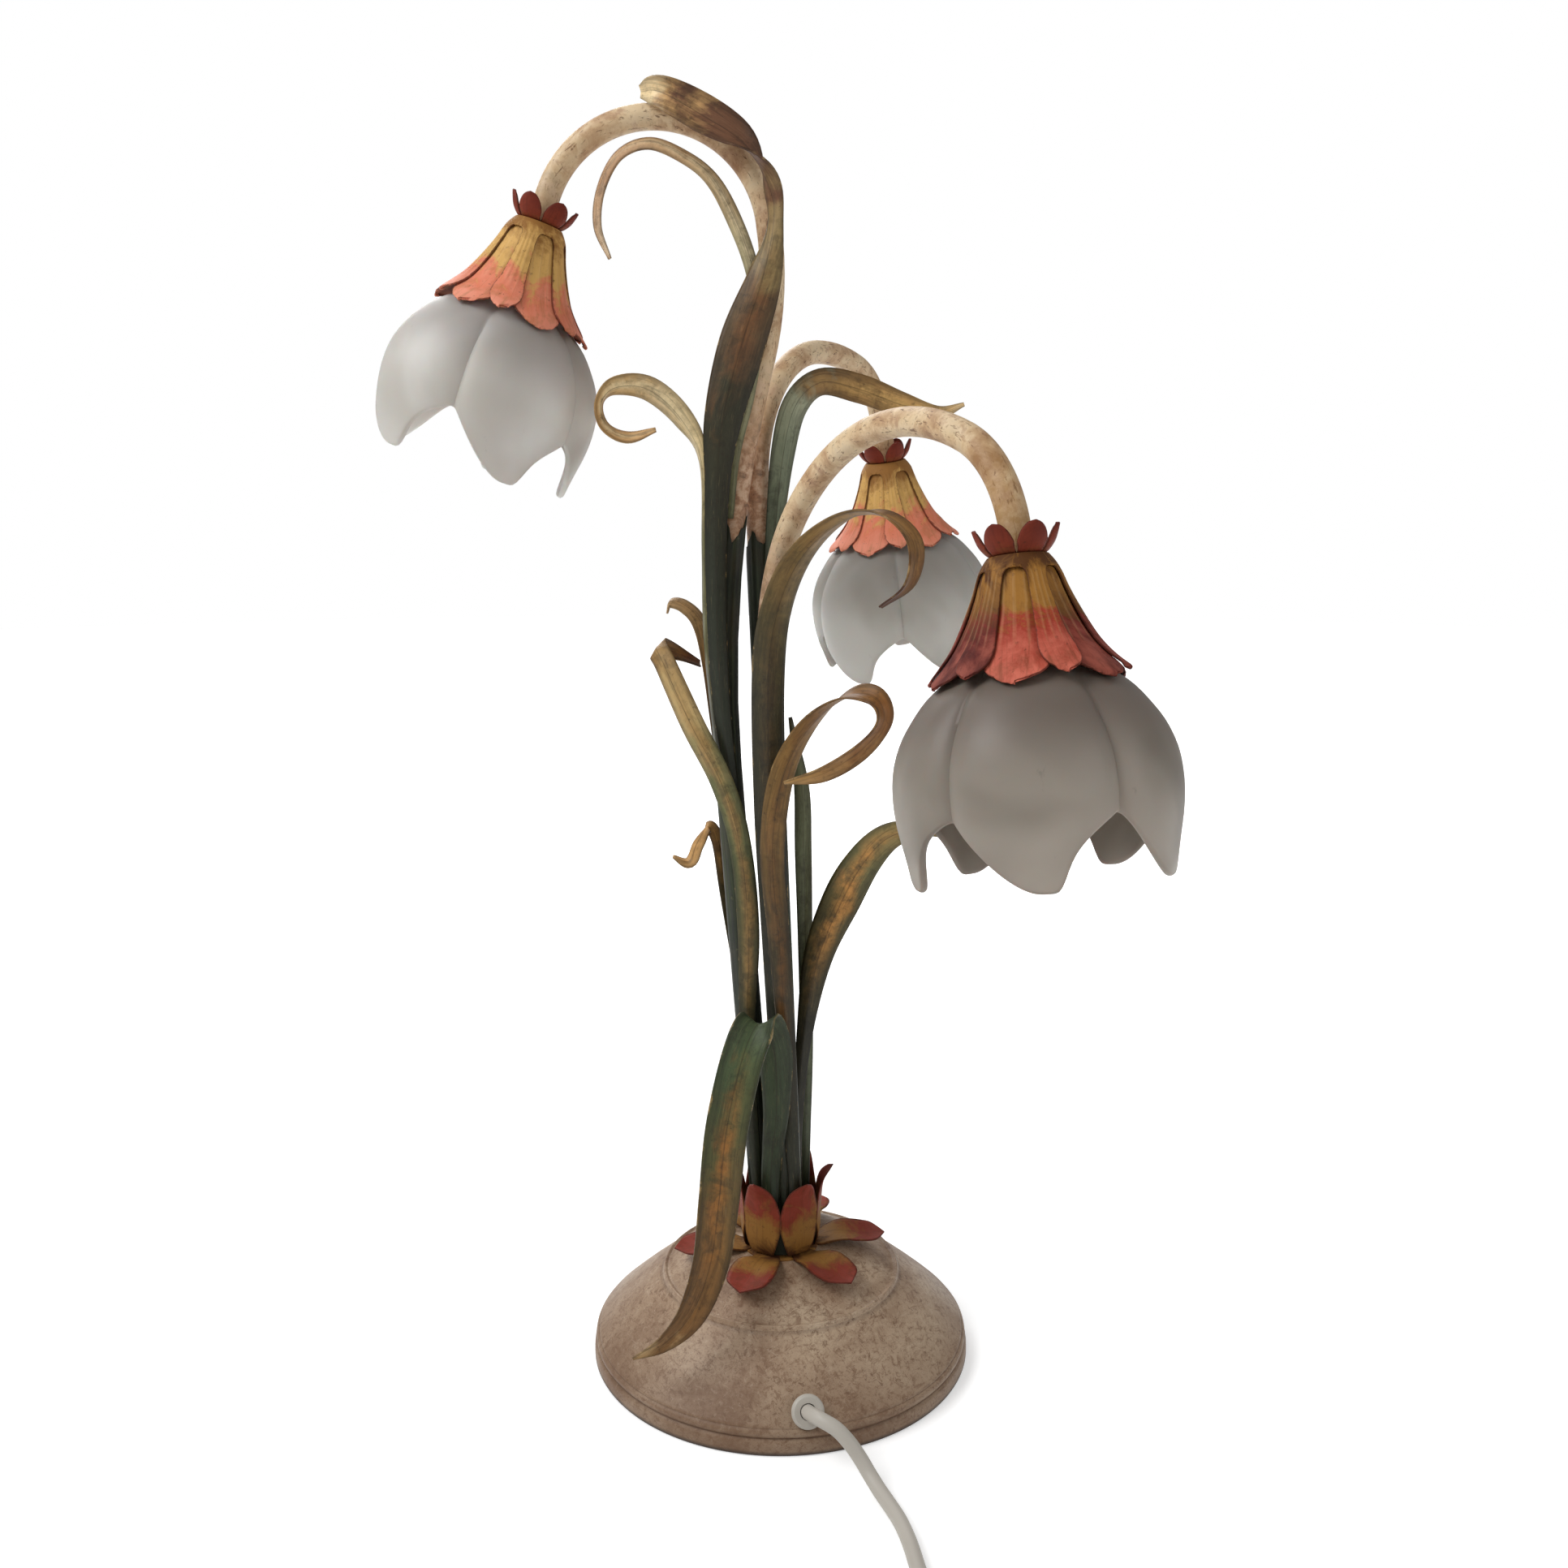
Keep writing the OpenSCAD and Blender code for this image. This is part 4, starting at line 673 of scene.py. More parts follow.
dome_inside[-1] = (BASE_R - DOME_WALL - 0.3, 0)
profile = np.vstack([dome_line, dome_inside[::-1]])
dome_faces = [tuple(reversed(face)) for face in grid(len(profile), DOME_SIDES, wrap=True, close=True)]
dome = add("dome", spun(profile, DOME_SIDES), dome_faces, BASE, "base_dome",
           {"groove": np.repeat(groove_shades, DOME_SIDES)})
bpy.ops.mesh.primitive_cylinder_add(vertices=48, radius=5.6 * MM, depth=30 * MM, location=GROMMET_AT * MM)
cutter = bpy.context.object
cutter.rotation_euler = (0, math.pi / 2 - GROMMET_RISE, GROMMET_AZ)
bpy.context.view_layer.update()
hole = dome.modifiers.new("cord_hole", "BOOLEAN")
hole.object = cutter
hole.solver = "EXACT"
bpy.context.view_layer.update()
cut = bpy.data.meshes.new_from_object(dome.evaluated_get(bpy.context.evaluated_depsgraph_get()))
dome.modifiers.remove(hole)
dome.data = cut
soften(cut, DOME_EDGE)
bpy.data.objects.remove(cutter)

# ---------- stems and their sheaths ----------

TUBE_R, TUBE_BORE, TUBE_EDGE = 6, 5, 60
SHEATH_FOOT, SHEATH_IN, SHEATH_OUT = 10, 6.2, 6.7
# A sheath's ribs, and its torn top edge: how far the tear reaches down, its mean drop, and its teeth
# as (size, count)
RIBS, RIB_RISE = 4, 0.4
TEAR, TEAR_DROP, TEETH = 14, 7, [(4.2, 2), (2.6, 3), (1.3, 7), (0.8, 13)]
random = np.random.default_rng(7)
flower_frames = {}


def sheath_walls(top, waves):
    """A ribbed outer wall and a bore for tube_points, both torn at the arc length top."""

    def torn(a, s):
        near = smooth((s - top + TEAR) / TEAR)
        teeth = sum(size * math.sin(count * a + wave) for (size, count), wave in zip(TEETH, waves))
        return near, -max(0.0, TEAR_DROP + teeth) * near

    def outer(a, s):
        near, lift = torn(a, s)
        return SHEATH_OUT + RIB_RISE * abs(math.sin(RIBS * a)) ** 0.7 - 0.25 * near, lift

    return outer, lambda a, s: (SHEATH_IN, torn(a, s)[1])


for name, (azimuth, rows, count) in STEMS.items():
    frames, (tip, side, head) = follow(foot_of(azimuth), rows)
    flower_frames[name] = (tip, side, np.cross(head, side), head)
    covered, _ = follow(foot_of(azimuth), rows[:count])
    top, end = covered[-1][3], frames[-1][3]
    points, faces, rest = tube_points(frames, lambda a, s: (TUBE_R, 0), lambda a, s: (TUBE_BORE, 0))
    arc = np.array(rest)[:, 2] / MM
    dirt_and_shade = np.clip(1 - (arc - top) / 90, 0, 1) ** 1.2 + 0.25 * np.clip(1 - (end - arc) / 40, 0, 1)
    gold = np.clip(1 - (end - arc) / 75, 0, 1) * (1 if name == "front" else 0.4)
    add("stem_" + name + "_tube", points, faces, CREAM, "stem_" + name,
        {"rest": rest, "dirt_and_shade": dirt_and_shade, "gold": gold}, TUBE_EDGE)
    sleeve = [f for f in covered if f[3] >= SHEATH_FOOT]
    points, faces, rest = tube_points(sleeve, *sheath_walls(top, random.uniform(0, 2 * math.pi, 4)))
    add("sheath_" + name + "_sleeve", points, faces, GREEN, "sheath_" + name, {"rest": rest},
        TUBE_EDGE)

# ---------- leaves ----------

# Rows of each leaf from root to tip: its middle, from the base's top, the way it spreads, and its width
LEAVES = {
    "wrap": [[-22.5, -8.1, 236, 1, 0, 0, 6], [-29, -14, 295, 1, 0, 0, 9], [-31, -16, 351, 1, 0, 0, 10],
        [-30, -17, 397, 1, 0, 0, 12], [-27, -17, 428, 1, 0, 0.1, 18], [-18, -16, 462, 1, 0, 0.3, 22],
        [-8, -16, 492, 1, -0.2, 0.4, 17], [-3, -15, 517, 0.8, -0.6, 0.2, 9],
        [-6, -14, 534, 0.6, -0.5, -0.6, 13], [-18, -13, 551, 0.4, -0.4, -0.9, 17],
        [-36, -11, 563, 0.3, -0.3, -1, 19], [-55, -8, 574, 0.2, -0.1, -1, 14],
        [-64, 2, 577, 0.1, 0.3, -1, 6]],
    "arch_curl": [[-24, -10, 382, 1, 0, 0, 3], [-21, -10, 412, 1, 0, 0, 4], [-14, -10, 442, 1, 0, 0, 5],
        [-10, -10, 472, 1, 0, 0, 5], [-13, -10, 497, 1, 0.3, 0, 7], [-21, -9, 519, 0.9, 0.4, 0.3, 8],
        [-31, -7, 537, 0.7, 0.5, 0.5, 8], [-44, -3, 548, 0.3, 0.6, 0.8, 8], [-61, 0, 555, 0, 0.6, 0.8, 8],
        [-76, 2, 550, -0.4, 0.6, 0.7, 7], [-85, 3, 535, -0.7, 0.6, 0.3, 6],
        [-87, 3, 518, -0.8, 0.6, 0, 5], [-81, 2, 503, -0.7, 0.5, -0.3, 2]],
    "left_curl": [[-30.2, -6.9, 254, 0.6, -0.8, 0, 6], [-36, -9, 319, 0.6, -0.8, 0, 8],
        [-37, -9, 366, 0.5, -0.8, 0, 9], [-38, -10, 408, 0.4, -0.8, 0.1, 9],
        [-46, -14, 427, 0.7, -0.6, 0.5, 12], [-61, -18, 441, 0.3, -0.4, 0.9, 12],
        [-76, -22, 442, 0, -0.6, 0.8, 10], [-83, -24, 435, -0.4, -0.9, 0.1, 7],
        [-81, -24, 425, -0.4, -0.8, -0.4, 7], [-71, -24, 420, 0, -0.6, -0.8, 7],
        [-58, -24, 423, 0.1, -0.5, -0.9, 2.5]],
    "right_upper": [[-6, 4, 334, 1, 0.2, 0, 6], [-2.5, 3.5, 378, 1, 0.2, 0, 9],
        [1.5, 4, 413, 1, 0.2, 0, 12], [7.5, 5, 436, 0.9, 0.2, -0.3, 13], [20, 8, 447, 0.5, 0.3, -0.8, 13],
        [39, 12, 444, 0.2, 0.3, -1, 14], [59, 14, 437, -0.1, 0.3, -1, 12], [77, 14, 433, 0, 0.2, -1, 7],
        [90, 12, 437, 0, 0.2, -1, 2]],
    "front_right": [[3.5, -16.2, 20, 1, 0, 0, 6], [2.5, -16.4, 42, 1, 0, 0, 7],
        [0, -17.2, 70, 1, 0, 0, 8], [-1, -20, 126, 1, 0, 0, 11], [-3, -20, 186, 1, 0, 0, 14],
        [-5, -20, 240, 1, 0, 0, 16], [-6, -21, 301, 1, 0, 0, 16], [-2, -29, 336, 0.95, 0.3, 0, 16],
        [9, -43, 363, 0.9, 0.4, 0, 15], [27, -58, 380, 0.8, 0.6, 0, 13], [44, -72, 383, 0.7, 0.7, 0, 12],
        [57, -80, 372, 0.7, 0.7, 0, 11], [56, -80, 355, 0.7, 0.7, 0, 8], [44, -74, 344, 0.7, 0.7, 0, 3]],
    "loop": [[8, -17.6, 20, 1, 0, 0, 5], [7.2, -17.8, 42, 1, 0, 0, 6], [6, -18.6, 66, 1, 0, 0, 7],
        [3, -25, 124, 1, 0, 0, 9], [-1, -26, 180, 1, 0, 0, 11], [-4, -27, 221, 1, 0, 0, 12],
        [1, -30, 258, 0.95, 0.3, 0, 13], [13, -36, 283, 0.85, 0.5, 0, 12],
        [30, -46, 299, 0.6, 0.6, 0.3, 12], [43, -54, 301, 0.5, 0.5, 0.6, 11],
        [47, -58, 291, 0.8, 0.6, 0.1, 10], [37, -56, 277, 0.4, 0.5, -0.6, 10.5],
        [20, -50, 265, 0.2, 0.5, -0.8, 9], [2, -42, 259, 0.2, 0.5, -0.8, 2]],
    "left_bent": [[-11, -9.2, 20, 1, 0, 0, 5], [-12.5, -9, 42, 1, 0, 0, 6], [-14, -9, 64, 1, 0, 0, 6],
        [-17, -15, 125, 1, 0, 0, 8], [-16, -18, 177, 1, 0, 0, 11], [-20, -19, 223, 1, 0, 0, 11],
        [-29, -19, 254, 0.9, -0.2, 0.3, 12], [-44, -15, 283, 0.8, -0.3, 0.5, 13],
        [-58, -4, 312, 0.7, -0.2, 0.7, 12], [-62, 6, 319, 0.6, 0.3, 0.7, 11],
        [-54, 17, 315, 0.2, 0.6, 0.6, 9], [-42, 26, 308, 0, 0.8, 0.5, 5]],
    "back_tip": [[-21.8, 8.9, 209, 0.8, 0.5, 0, 5], [-30, 13.5, 263, 0.8, 0.5, 0, 7],
        [-35, 14, 309, 0.8, 0.5, 0, 9], [-40, 15, 330, 0.6, 0.6, 0.5, 9],
        [-48, 16, 339, 0.3, 0.6, 0.7, 8], [-56, 18, 341, 0.1, 0.8, 0.6, 7],
        [-58, 19, 335, 0.1, 0.8, 0.4, 2]],
    "side_curl": [[-23, 7, 152, 0.8, 0.5, 0, 4], [-28.5, 8.5, 192, 0.8, 0.5, 0, 6],
        [-32, 9, 219, 0.8, 0.5, 0.2, 7], [-37, 8, 227, 0.4, 0.7, 0.5, 8],
        [-43, 6, 218, -0.5, 0.7, 0.4, 8], [-47, 5, 209, -0.5, 0.6, 0.6, 7],
        [-55, 4, 212, -0.1, 0.6, 0.8, 2]],
    "right_lower": [[9.5, 0, 22, 0.9, 0.3, 0, 6], [8.5, 0.4, 62, 0.9, 0.3, 0, 7],
        [12, 1, 112, 1, 0, -0.1, 8], [19, 0, 157, 1, 0, -0.3, 15], [31, -5, 190, 1, 0, -0.5, 20],
        [42, -10, 212, 0.9, 0, -0.6, 18], [54, -15, 226, 0.6, 0, -0.9, 14], [70, -20, 231, 0.2, 0, -1, 8],
        [86, -24, 228, 0, 0.3, -1, 3]],
    "foot": [[-5, -17.6, 18.4, 1, 0, 0, 8], [-5, -17.8, 45, 1, 0, 0, 10], [-4, -20.6, 62, 1, 0, 0, 11],
        [-2, -26.5, 89, 1, 0, 0, 14], [-3, -31, 119, 1, 0, 0, 18], [-10, -37, 136, 1, 0, 0, 21],
        [-18, -46, 124, 1, 0, 0, 21], [-26, -54, 90, 1, 0, 0, 21], [-30, -60, 54, 1, 0, -0.05, 20],
        [-34, -66, 25, 1, 0, -0.2, 18], [-43, -74, 3, 0.9, 0, -0.5, 14.5],
        [-56, -80, -9, 0.6, 0, -0.8, 8.5], [-71, -84, -15, 0.4, 0, -0.9, 1.5]],
    "back_right": [[13, 8.6, 22, 1, 0.2, 0, 5], [13.4, 9, 62, 1, 0.2, 0, 6], [14, 10, 107, 1, 0.2, 0, 7],
        [13, 10, 169, 1, 0.2, 0, 8], [12, 10, 213, 1, 0.2, 0, 9], [11, 10, 247, 1, 0.2, 0, 8],
        [5, 9, 283, 1, 0.2, 0, 2]],
}
# Tones from root to tip, colour of the worn band, and where the band starts, where it ends and its
# strength. The dark green lower parts are the leaves' dark paint with painted shade in it.
LEAF_LOOKS = {
    "wrap": ([(0, (36, 42, 29)), (0.35, (40, 43, 29)), (0.5, (50, 48, 31)), (0.58, (84, 66, 42)),
        (0.66, (112, 86, 54)), (0.72, (150, 128, 84)), (0.77, (148, 120, 80)), (0.81, (114, 78, 54)),
        (0.9, (112, 76, 54)), (0.94, (194, 152, 100)), (0.99, (238, 212, 164))], (134, 84, 50),
        (0.57, 0.66, 0.95)),
    "arch_curl": ([(0, (104, 106, 76)), (0.3, (166, 162, 126)), (0.5, (214, 196, 152)),
        (0.68, (200, 164, 120)), (0.85, (186, 142, 102)), (1, (236, 212, 178))], (232, 212, 172),
        (0.4, 0.8, 0.6)),
    "left_curl": ([(0, (60, 64, 42)), (0.48, (116, 112, 68)), (0.6, (216, 192, 138)),
        (0.72, (232, 204, 156)), (0.8, (208, 170, 112)), (0.9, (190, 142, 84)), (1, (220, 176, 122))],
        (240, 220, 174), (0.6, 0.96, 0.75)),
    "right_upper": ([(0, (46, 52, 38)), (0.25, (94, 102, 80)), (0.45, (140, 146, 120)),
        (0.57, (162, 164, 136)), (0.63, (134, 102, 60)), (0.7, (154, 116, 66)), (0.82, (200, 156, 94)),
        (0.92, (216, 174, 110)), (1, (230, 198, 148))], (222, 178, 108), (0.66, 0.95, 0.85)),
    "front_right": ([(0, (34, 40, 26)), (0.25, (38, 41, 27)), (0.45, (46, 45, 29)), (0.6, (56, 52, 32)),
        (0.7, (100, 86, 48)), (0.8, (160, 126, 70)), (0.91, (156, 112, 58)), (1, (88, 48, 24))],
        (92, 68, 38), (0.36, 0.92, 0.5)),
    "loop": ([(0, (32, 38, 26)), (0.25, (46, 44, 28)), (0.4, (66, 54, 31)), (0.52, (108, 82, 42)),
        (0.68, (162, 122, 64)), (0.85, (136, 88, 42)), (1, (194, 152, 94))], (116, 76, 38),
        (0.26, 0.9, 0.6)),
    "left_bent": ([(0, (38, 44, 29)), (0.24, (48, 52, 34)), (0.42, (90, 82, 49)), (0.56, (84, 90, 56)),
        (0.68, (122, 122, 78)), (0.8, (194, 166, 112)), (0.92, (160, 116, 60)), (1, (112, 68, 32))],
        (170, 130, 76), (0.34, 0.84, 0.75)),
    "back_tip": ([(0, (56, 54, 34)), (0.4, (100, 76, 42)), (0.65, (176, 132, 80)), (1, (218, 178, 126))],
        (214, 166, 108), (0.5, 1, 0.6)),
    "side_curl": ([(0, (46, 50, 32)), (0.45, (86, 70, 38)), (0.6, (140, 100, 54)), (0.82, (200, 152, 90)),
        (1, (216, 174, 120))], (204, 154, 92), (0.5, 1, 0.6)),
    "right_lower": ([(0, (30, 32, 21)), (0.4, (40, 38, 24)), (0.54, (76, 68, 40)), (0.66, (104, 94, 56)),
        (0.8, (116, 112, 70)), (1, (172, 144, 92))], (210, 150, 80), (0.54, 0.88, 1)),
    "foot": ([(0, (34, 44, 29)), (0.36, (58, 70, 45)), (0.46, (74, 88, 56)), (0.6, (84, 84, 48)),
        (0.7, (104, 84, 44)), (0.82, (112, 80, 42)), (0.93, (124, 88, 50)), (1, (190, 158, 110))],
        (158, 104, 48), (0.52, 0.84, 0.85)),
    "back_right": ([(0, (50, 58, 40)), (0.5, (106, 112, 84)), (0.9, (92, 94, 64)), (1, (62, 58, 36))],
        (128, 132, 100), (0.3, 0.8, 0.4)),
}
LEAF_T, LEAF_CREASE, LEAF_STEPS, LEAF_COLUMNS = 0.9, 0.28, 8, 13
PATCH = 0.1  # moves the marks of each petal of a piece, in metres of its flat sheet


def strap(sheet, rows, steps, columns, crease, flat_rings=0, round_end=0, shift=0):
    """Adds the upper face of a creased strap to sheet, flat for its first flat_rings rows."""
    q = spline(rows, steps)
    path, head, s = q[:, :3], headings(q[:, :3]), lengths(q[:, :3])
    sheet.faces += grid(len(q), columns, len(sheet.points))
    for i in range(len(q)):
        side = unit(q[i, 3:6] - (q[i, 3:6] @ head[i]) * head[i])
        up = np.cross(head[i], side)
        half = max(q[i, 6], 1) / 2
        if round_end:
            half *= math.sqrt(max(0.0, 1 - smooth((s[i] - s[-1] + round_end) / round_end) ** 2)) + 0.02
        for c in np.linspace(-1, 1, columns):
            rise = half * crease * (abs(c) ** 1.35 * 0.9 + 0.1 * abs(c))
            if flat_rings:
                rise *= min(1, max(0, i / steps - flat_rings) / 1.5)
            rest = (c * half * MM, rise * MM + shift, s[i] * MM)
            sheet.put(path[i] + c * half * side + rise * up, s[i] / s[-1], c, rest)


for seed, (name, rows) in enumerate(LEAVES.items()):
    blade = Sheet()
    strap(blade, np.array(rows) + [*LAND, 0, 0, 0, 0], LEAF_STEPS, LEAF_COLUMNS, LEAF_CREASE)
    paint = leaf_paint("leaf_paint_" + name, *LEAF_LOOKS[name], 0.37 * (seed + 1))
    thicken(blade.piece("leaf_" + name + "_blade", paint, "leaf_paint", "leaf_" + name), LEAF_T)

# ---------- floret round the foot of the stems ----------

FLORET_T, PETAL_T, PETALS = 1, 0.7, 6
HUB_R = 17.1
FLAT_REACH, UPRIGHT_H = 57, 44
DISC_SIDES, DISC_CHAMFER = 64, 0.3
ROOT_Z = (FLORET_T + PETAL_T) / 2
FLORET = petal_paint(
    "floret_paint", (136, 96, 46), (74, 44, 24), (124, 50, 34), (134, 56, 44), 0.46, 3.1, 0.22)


def above_dome(r, h, width):
    """A petal's row at radius r and h above the dome."""
    return r, h - crown_r + math.sqrt(crown_r**2 - max(r - LAND_R, 0) ** 2), width


def floret(name, rows, start, lift, steps, round_end):
    """The six petals of a floret. Each row is [radius, height, width]."""
    petals = Sheet()
    for k in range(PETALS):
        a = math.radians(start + 360 * (k + 1) / PETALS)
        x, y = vec(math.cos(a), math.sin(a), 0), vec(-math.sin(a), math.cos(a), 0)
        table = [[*(LAND + vec(0, 0, lift + h) + r * x), *y, w] for r, h, w in rows]
        strap(petals, table, steps, 11, 0.22, 2, round_end, PATCH * k)
    thicken(petals.piece(name + "_petals", FLORET, "floret_paint", name), PETAL_T)


def ring(name, lift, disc_r):
    """The flat ring that carries a floret's petals."""
    low = BASE_H + lift
    top = low + FLORET_T
    line = [(ROD_HOLE, low), (ROD_HOLE, top), (disc_r - DISC_CHAMFER, top), (disc_r, top - DISC_CHAMFER),
            (disc_r, low)]
    points, faces = spun(line, DISC_SIDES), grid(len(line), DISC_SIDES, wrap=True, close=True)
    weld(add(name + "_disc", points, faces, FLORET, name,
             {"along": [0.2] * len(points), "rest": np.array(points) * MM}))


floret("floret_flat", [
    [12, ROOT_Z, 10], [16, ROOT_Z, 11], [21, ROOT_Z, 15], above_dome(30, 3, 21),
    above_dome(FLAT_REACH - 18, 3.5, 24), above_dome(FLAT_REACH - 8, 6, 21),
    above_dome(FLAT_REACH, 11, 13)], 9, 0, 6, 9)
floret("floret_upright", [
    [HUB_R - 4, ROOT_Z, 8], [HUB_R - 1, ROOT_Z, 10], [HUB_R + 1.5, ROOT_Z + 0.6, 12], [HUB_R + 4, 9, 18],
    [HUB_R + 4.5, UPRIGHT_H * 0.5, 22.5], [HUB_R + 6, UPRIGHT_H * 0.8, 16], [HUB_R + 11, UPRIGHT_H, 4]],
    0, FLORET_T, 8, 4)
ring("floret_flat", 0, 20)
ring("floret_upright", FLORET_T, HUB_R - 2)

# ---------- flowers ----------

BELL_H, BELL_TOP, BELL_RIM, BELL_COLUMNS, SHEET_T = 45.5, 11, 38, 25, 0.8
BELL_SHAPE = [[0, 0], [0.08, 0.07], [0.14, 0.15], [0.2, 0.26], [0.285, 0.39], [0.395, 0.54], [0.54, 0.7],
              [0.745, 0.85], [1, 1]]
# Half of the slot between two petals of the outer and of the inner bell: [half width, share of the depth]
GAPS = {
    "outer": np.array([[0, 0.1], [1.9, 0.104], [3, 0.115], [4.2, 0.16], [4.9, 0.26], [5.7, 0.4], [6.8, 0.6],
                       [8, 0.8], [9.4, 0.9]]),
    "inner": np.array([[0, 0.37], [0.5, 0.38], [1.1, 0.4], [1.3, 0.55], [2, 0.7], [3.2, 0.81], [5, 0.9]]),
}
# Shares of the depth between which a petal's tip rounds off, and the creases' places across a petal
BELL_TIPS, CREASES = {"outer": (0.68, 0.96), "inner": (0.76, 1)}, (-0.42, 0.05, 0.5)
CALYX_R, CALYX_H, CALYX_COLUMNS = 15, 10.5, 13
# Degrees that each flower's calyx, bells and glass are turned about its stem's end
TURNS = {"tall": (14, -6, 18), "back": (33, 58, 45), "front": (40, 45, 40)}
HALF_PETAL = math.pi / PETALS


def place(flower, points):
    tip, x, y, z = flower_frames[flower]
    local = np.asarray(points)
    return tip + local[:, :1] * x + local[:, 1:2] * y + local[:, 2:3] * z


def petal_centres(turn):
    return [math.radians(turn) + HALF_PETAL * (2 * k + 1) for k in range(PETALS)]


def bell(flower, part, r_less, z0, turn, paint, side_shade_strength):
    """Six petals with faint creases below a common shoulder, with painted shade on the petals that face
    sideways.
    """
    gap, gap_top = GAPS[part], GAPS[part][0, 1]
    tip_from, tip_to = BELL_TIPS[part]
    line = spline(BELL_SHAPE, 6)
    depth = np.concatenate([
        np.linspace(0, gap_top, 5), gap_top + (tip_from - gap_top) * np.linspace(0, 1, 26)[1:] ** 1.5,
        tip_from + (tip_to - tip_from) * np.sin(np.linspace(0, math.pi / 2, 12))[1:]])
    bell_r = BELL_TOP - r_less + (BELL_RIM - BELL_TOP) * np.interp(depth, line[:, 1], line[:, 0])
    columns = np.linspace(-1, 1, BELL_COLUMNS)
    petals = Sheet()
    for k, centre in enumerate(petal_centres(turn)):
        outward = math.cos(centre) * flower_frames[flower][1] + math.sin(centre) * flower_frames[flower][2]
        # Painted shade: petals whose outward side runs along x are darkened, as strongly as the flower asks
        tone = side_shade_strength * smooth((abs(outward[0]) - 0.45) / 0.3)
        first = len(petals.points)
        for d, r in zip(depth, bell_r):
            t = max(0, d - gap_top) / (1 - gap_top)
            reach = HALF_PETAL - np.interp(min(d, tip_from), gap[:, 1], gap[:, 0]) / r
            if d > tip_from:
                reach *= math.sqrt(max(0.0, 1 - ((d - tip_from) / (tip_to - tip_from)) ** 2)) * 0.99 + 0.01
            for c in columns:
                ridge = sum(math.exp(-(((c - at) / 0.09) ** 2)) for at in CREASES)
                ridge *= smooth(d / 0.2) * smooth((0.9 - d) / 0.3)
                swell = 0.35 * ridge * (r / BELL_RIM) ** 0.5 + 0.9 * (1 - c * c) * smooth(t * 1.5)
                swell += 0.7 * smooth((d - 0.8) / 0.2) * math.cos(1.3 * c + k)
                a, z = centre + c * reach, z0 + BELL_H * d - 0.9 * c * c * t**2
                petals.put(
                    ((r + swell) * math.cos(a), (r + swell) * math.sin(a), z), d, c if t > 0 else 0.6 * c,
                    (c * reach * r * MM, PATCH * k, BELL_H * d * MM), ridge, tone * smooth(d / 0.6))
        petals.faces += grid(len(depth), BELL_COLUMNS, first)
        inner = len(petals.points)
        for r in np.linspace(ROD_HOLE, BELL_TOP - r_less, 5)[:-1]:
            for c in columns:
                a = centre + c * HALF_PETAL
                petals.put((r * math.cos(a), r * math.sin(a), z0), rest=(c * r * MM, PATCH * k, r * MM))
        petals.faces += grid(4, BELL_COLUMNS, inner)
        low = inner + 3 * BELL_COLUMNS
        petals.faces += [(low + c, low + c + 1, first + c + 1, first + c) for c in range(BELL_COLUMNS - 1)]
    name = flower + "_bell_" + part
    piece = petals.piece(name + "_petals", paint, "bell_paint", name, flower)
    weld(piece)
    thicken(piece, SHEET_T, 1)


def calyx(flower, turn, paint):
    """Six small cupped petals that stand up round the tube's end."""
    cup = [(0.72, 0.12), (0.88, 0.42), (0.96, 0.75), (1, 1)]
    line = spline([(ROD_HOLE, 0), (BELL_TOP * 0.75, 0)] + [(CALYX_R * r, -CALYX_H * h) for r, h in cup], 6)
    s = lengths(line) / lengths(line)[-1]
    root = s[6]
    petals = Sheet()
    for k, centre in enumerate(petal_centres(turn)):
        petals.faces += grid(len(line), CALYX_COLUMNS, len(petals.points))
        for (r, z), at in zip(line, s):
            t = max(0.0, (at - root) / (1 - root))
            widest = HALF_PETAL * r - 0.5
            width = HALF_PETAL * r - 0.5 * smooth(t * 4) if t < 0.3 else min(widest, 6.3)
            width *= math.sqrt(max(0.0, 1 - (max(0, t - 0.45) / 0.55) ** 2)) * 0.98 + 0.02
            for c in np.linspace(-1, 1, CALYX_COLUMNS):
                a = centre + c * width / r
                out = r + 1.2 * t * (1 - c * c) - 0.4 * t
                rest = (c * width * MM, PATCH * k, at * 20 * MM)
                petals.put((out * math.cos(a), out * math.sin(a), z), at, c, rest)
    piece = petals.piece(flower + "_calyx_petals", paint, "calyx_paint", flower + "_calyx", flower)
    weld(piece)
    thicken(piece, SHEET_T, 0)


SHADE_R, SHADE_END, SHADE_NECK, GLASS_T, SHADE_EDGE = 53, 121, 14.1, 3, 70
SHADE_PETALS, SHADE_COLUMNS, SHADE_LEVELS = 5, 240, 30
HOLDER_Z = 6.4
GLASS_Z = HOLDER_Z + 25.9
SHADE_SHAPE = [[0.36, 0.01], [0.45, 0.06], [0.57, 0.13], [0.71, 0.2], [0.82, 0.28], [0.915, 0.37],
               [0.98, 0.48], [1, 0.6], [0.985, 0.72], [0.94, 0.86], [0.9, 1]]
# Depth of the pinch between two petals and of the rim's notch, and the ends of a petal's flat tip
PINCH, NOTCH, TIP_FROM, TIP_TO = 4.5, 0.2, 0.36, 0.5
glass_h = SHADE_END - GLASS_Z
shade_line = spline(
    [[SHADE_NECK, GLASS_Z]] + [[r * SHADE_R, GLASS_Z + glass_h * z] for r, z in SHADE_SHAPE], 8)


def rim_share(f):
    """Full along the flat tip, a steep step on the one side and a long round edge on the other."""
    if f < TIP_FROM:
        return 0.98 - NOTCH * ((TIP_FROM - f) / TIP_FROM) ** 0.45
    return 0.98 - NOTCH * max(0, (f - TIP_TO) / (1 - TIP_TO)) ** 1.6


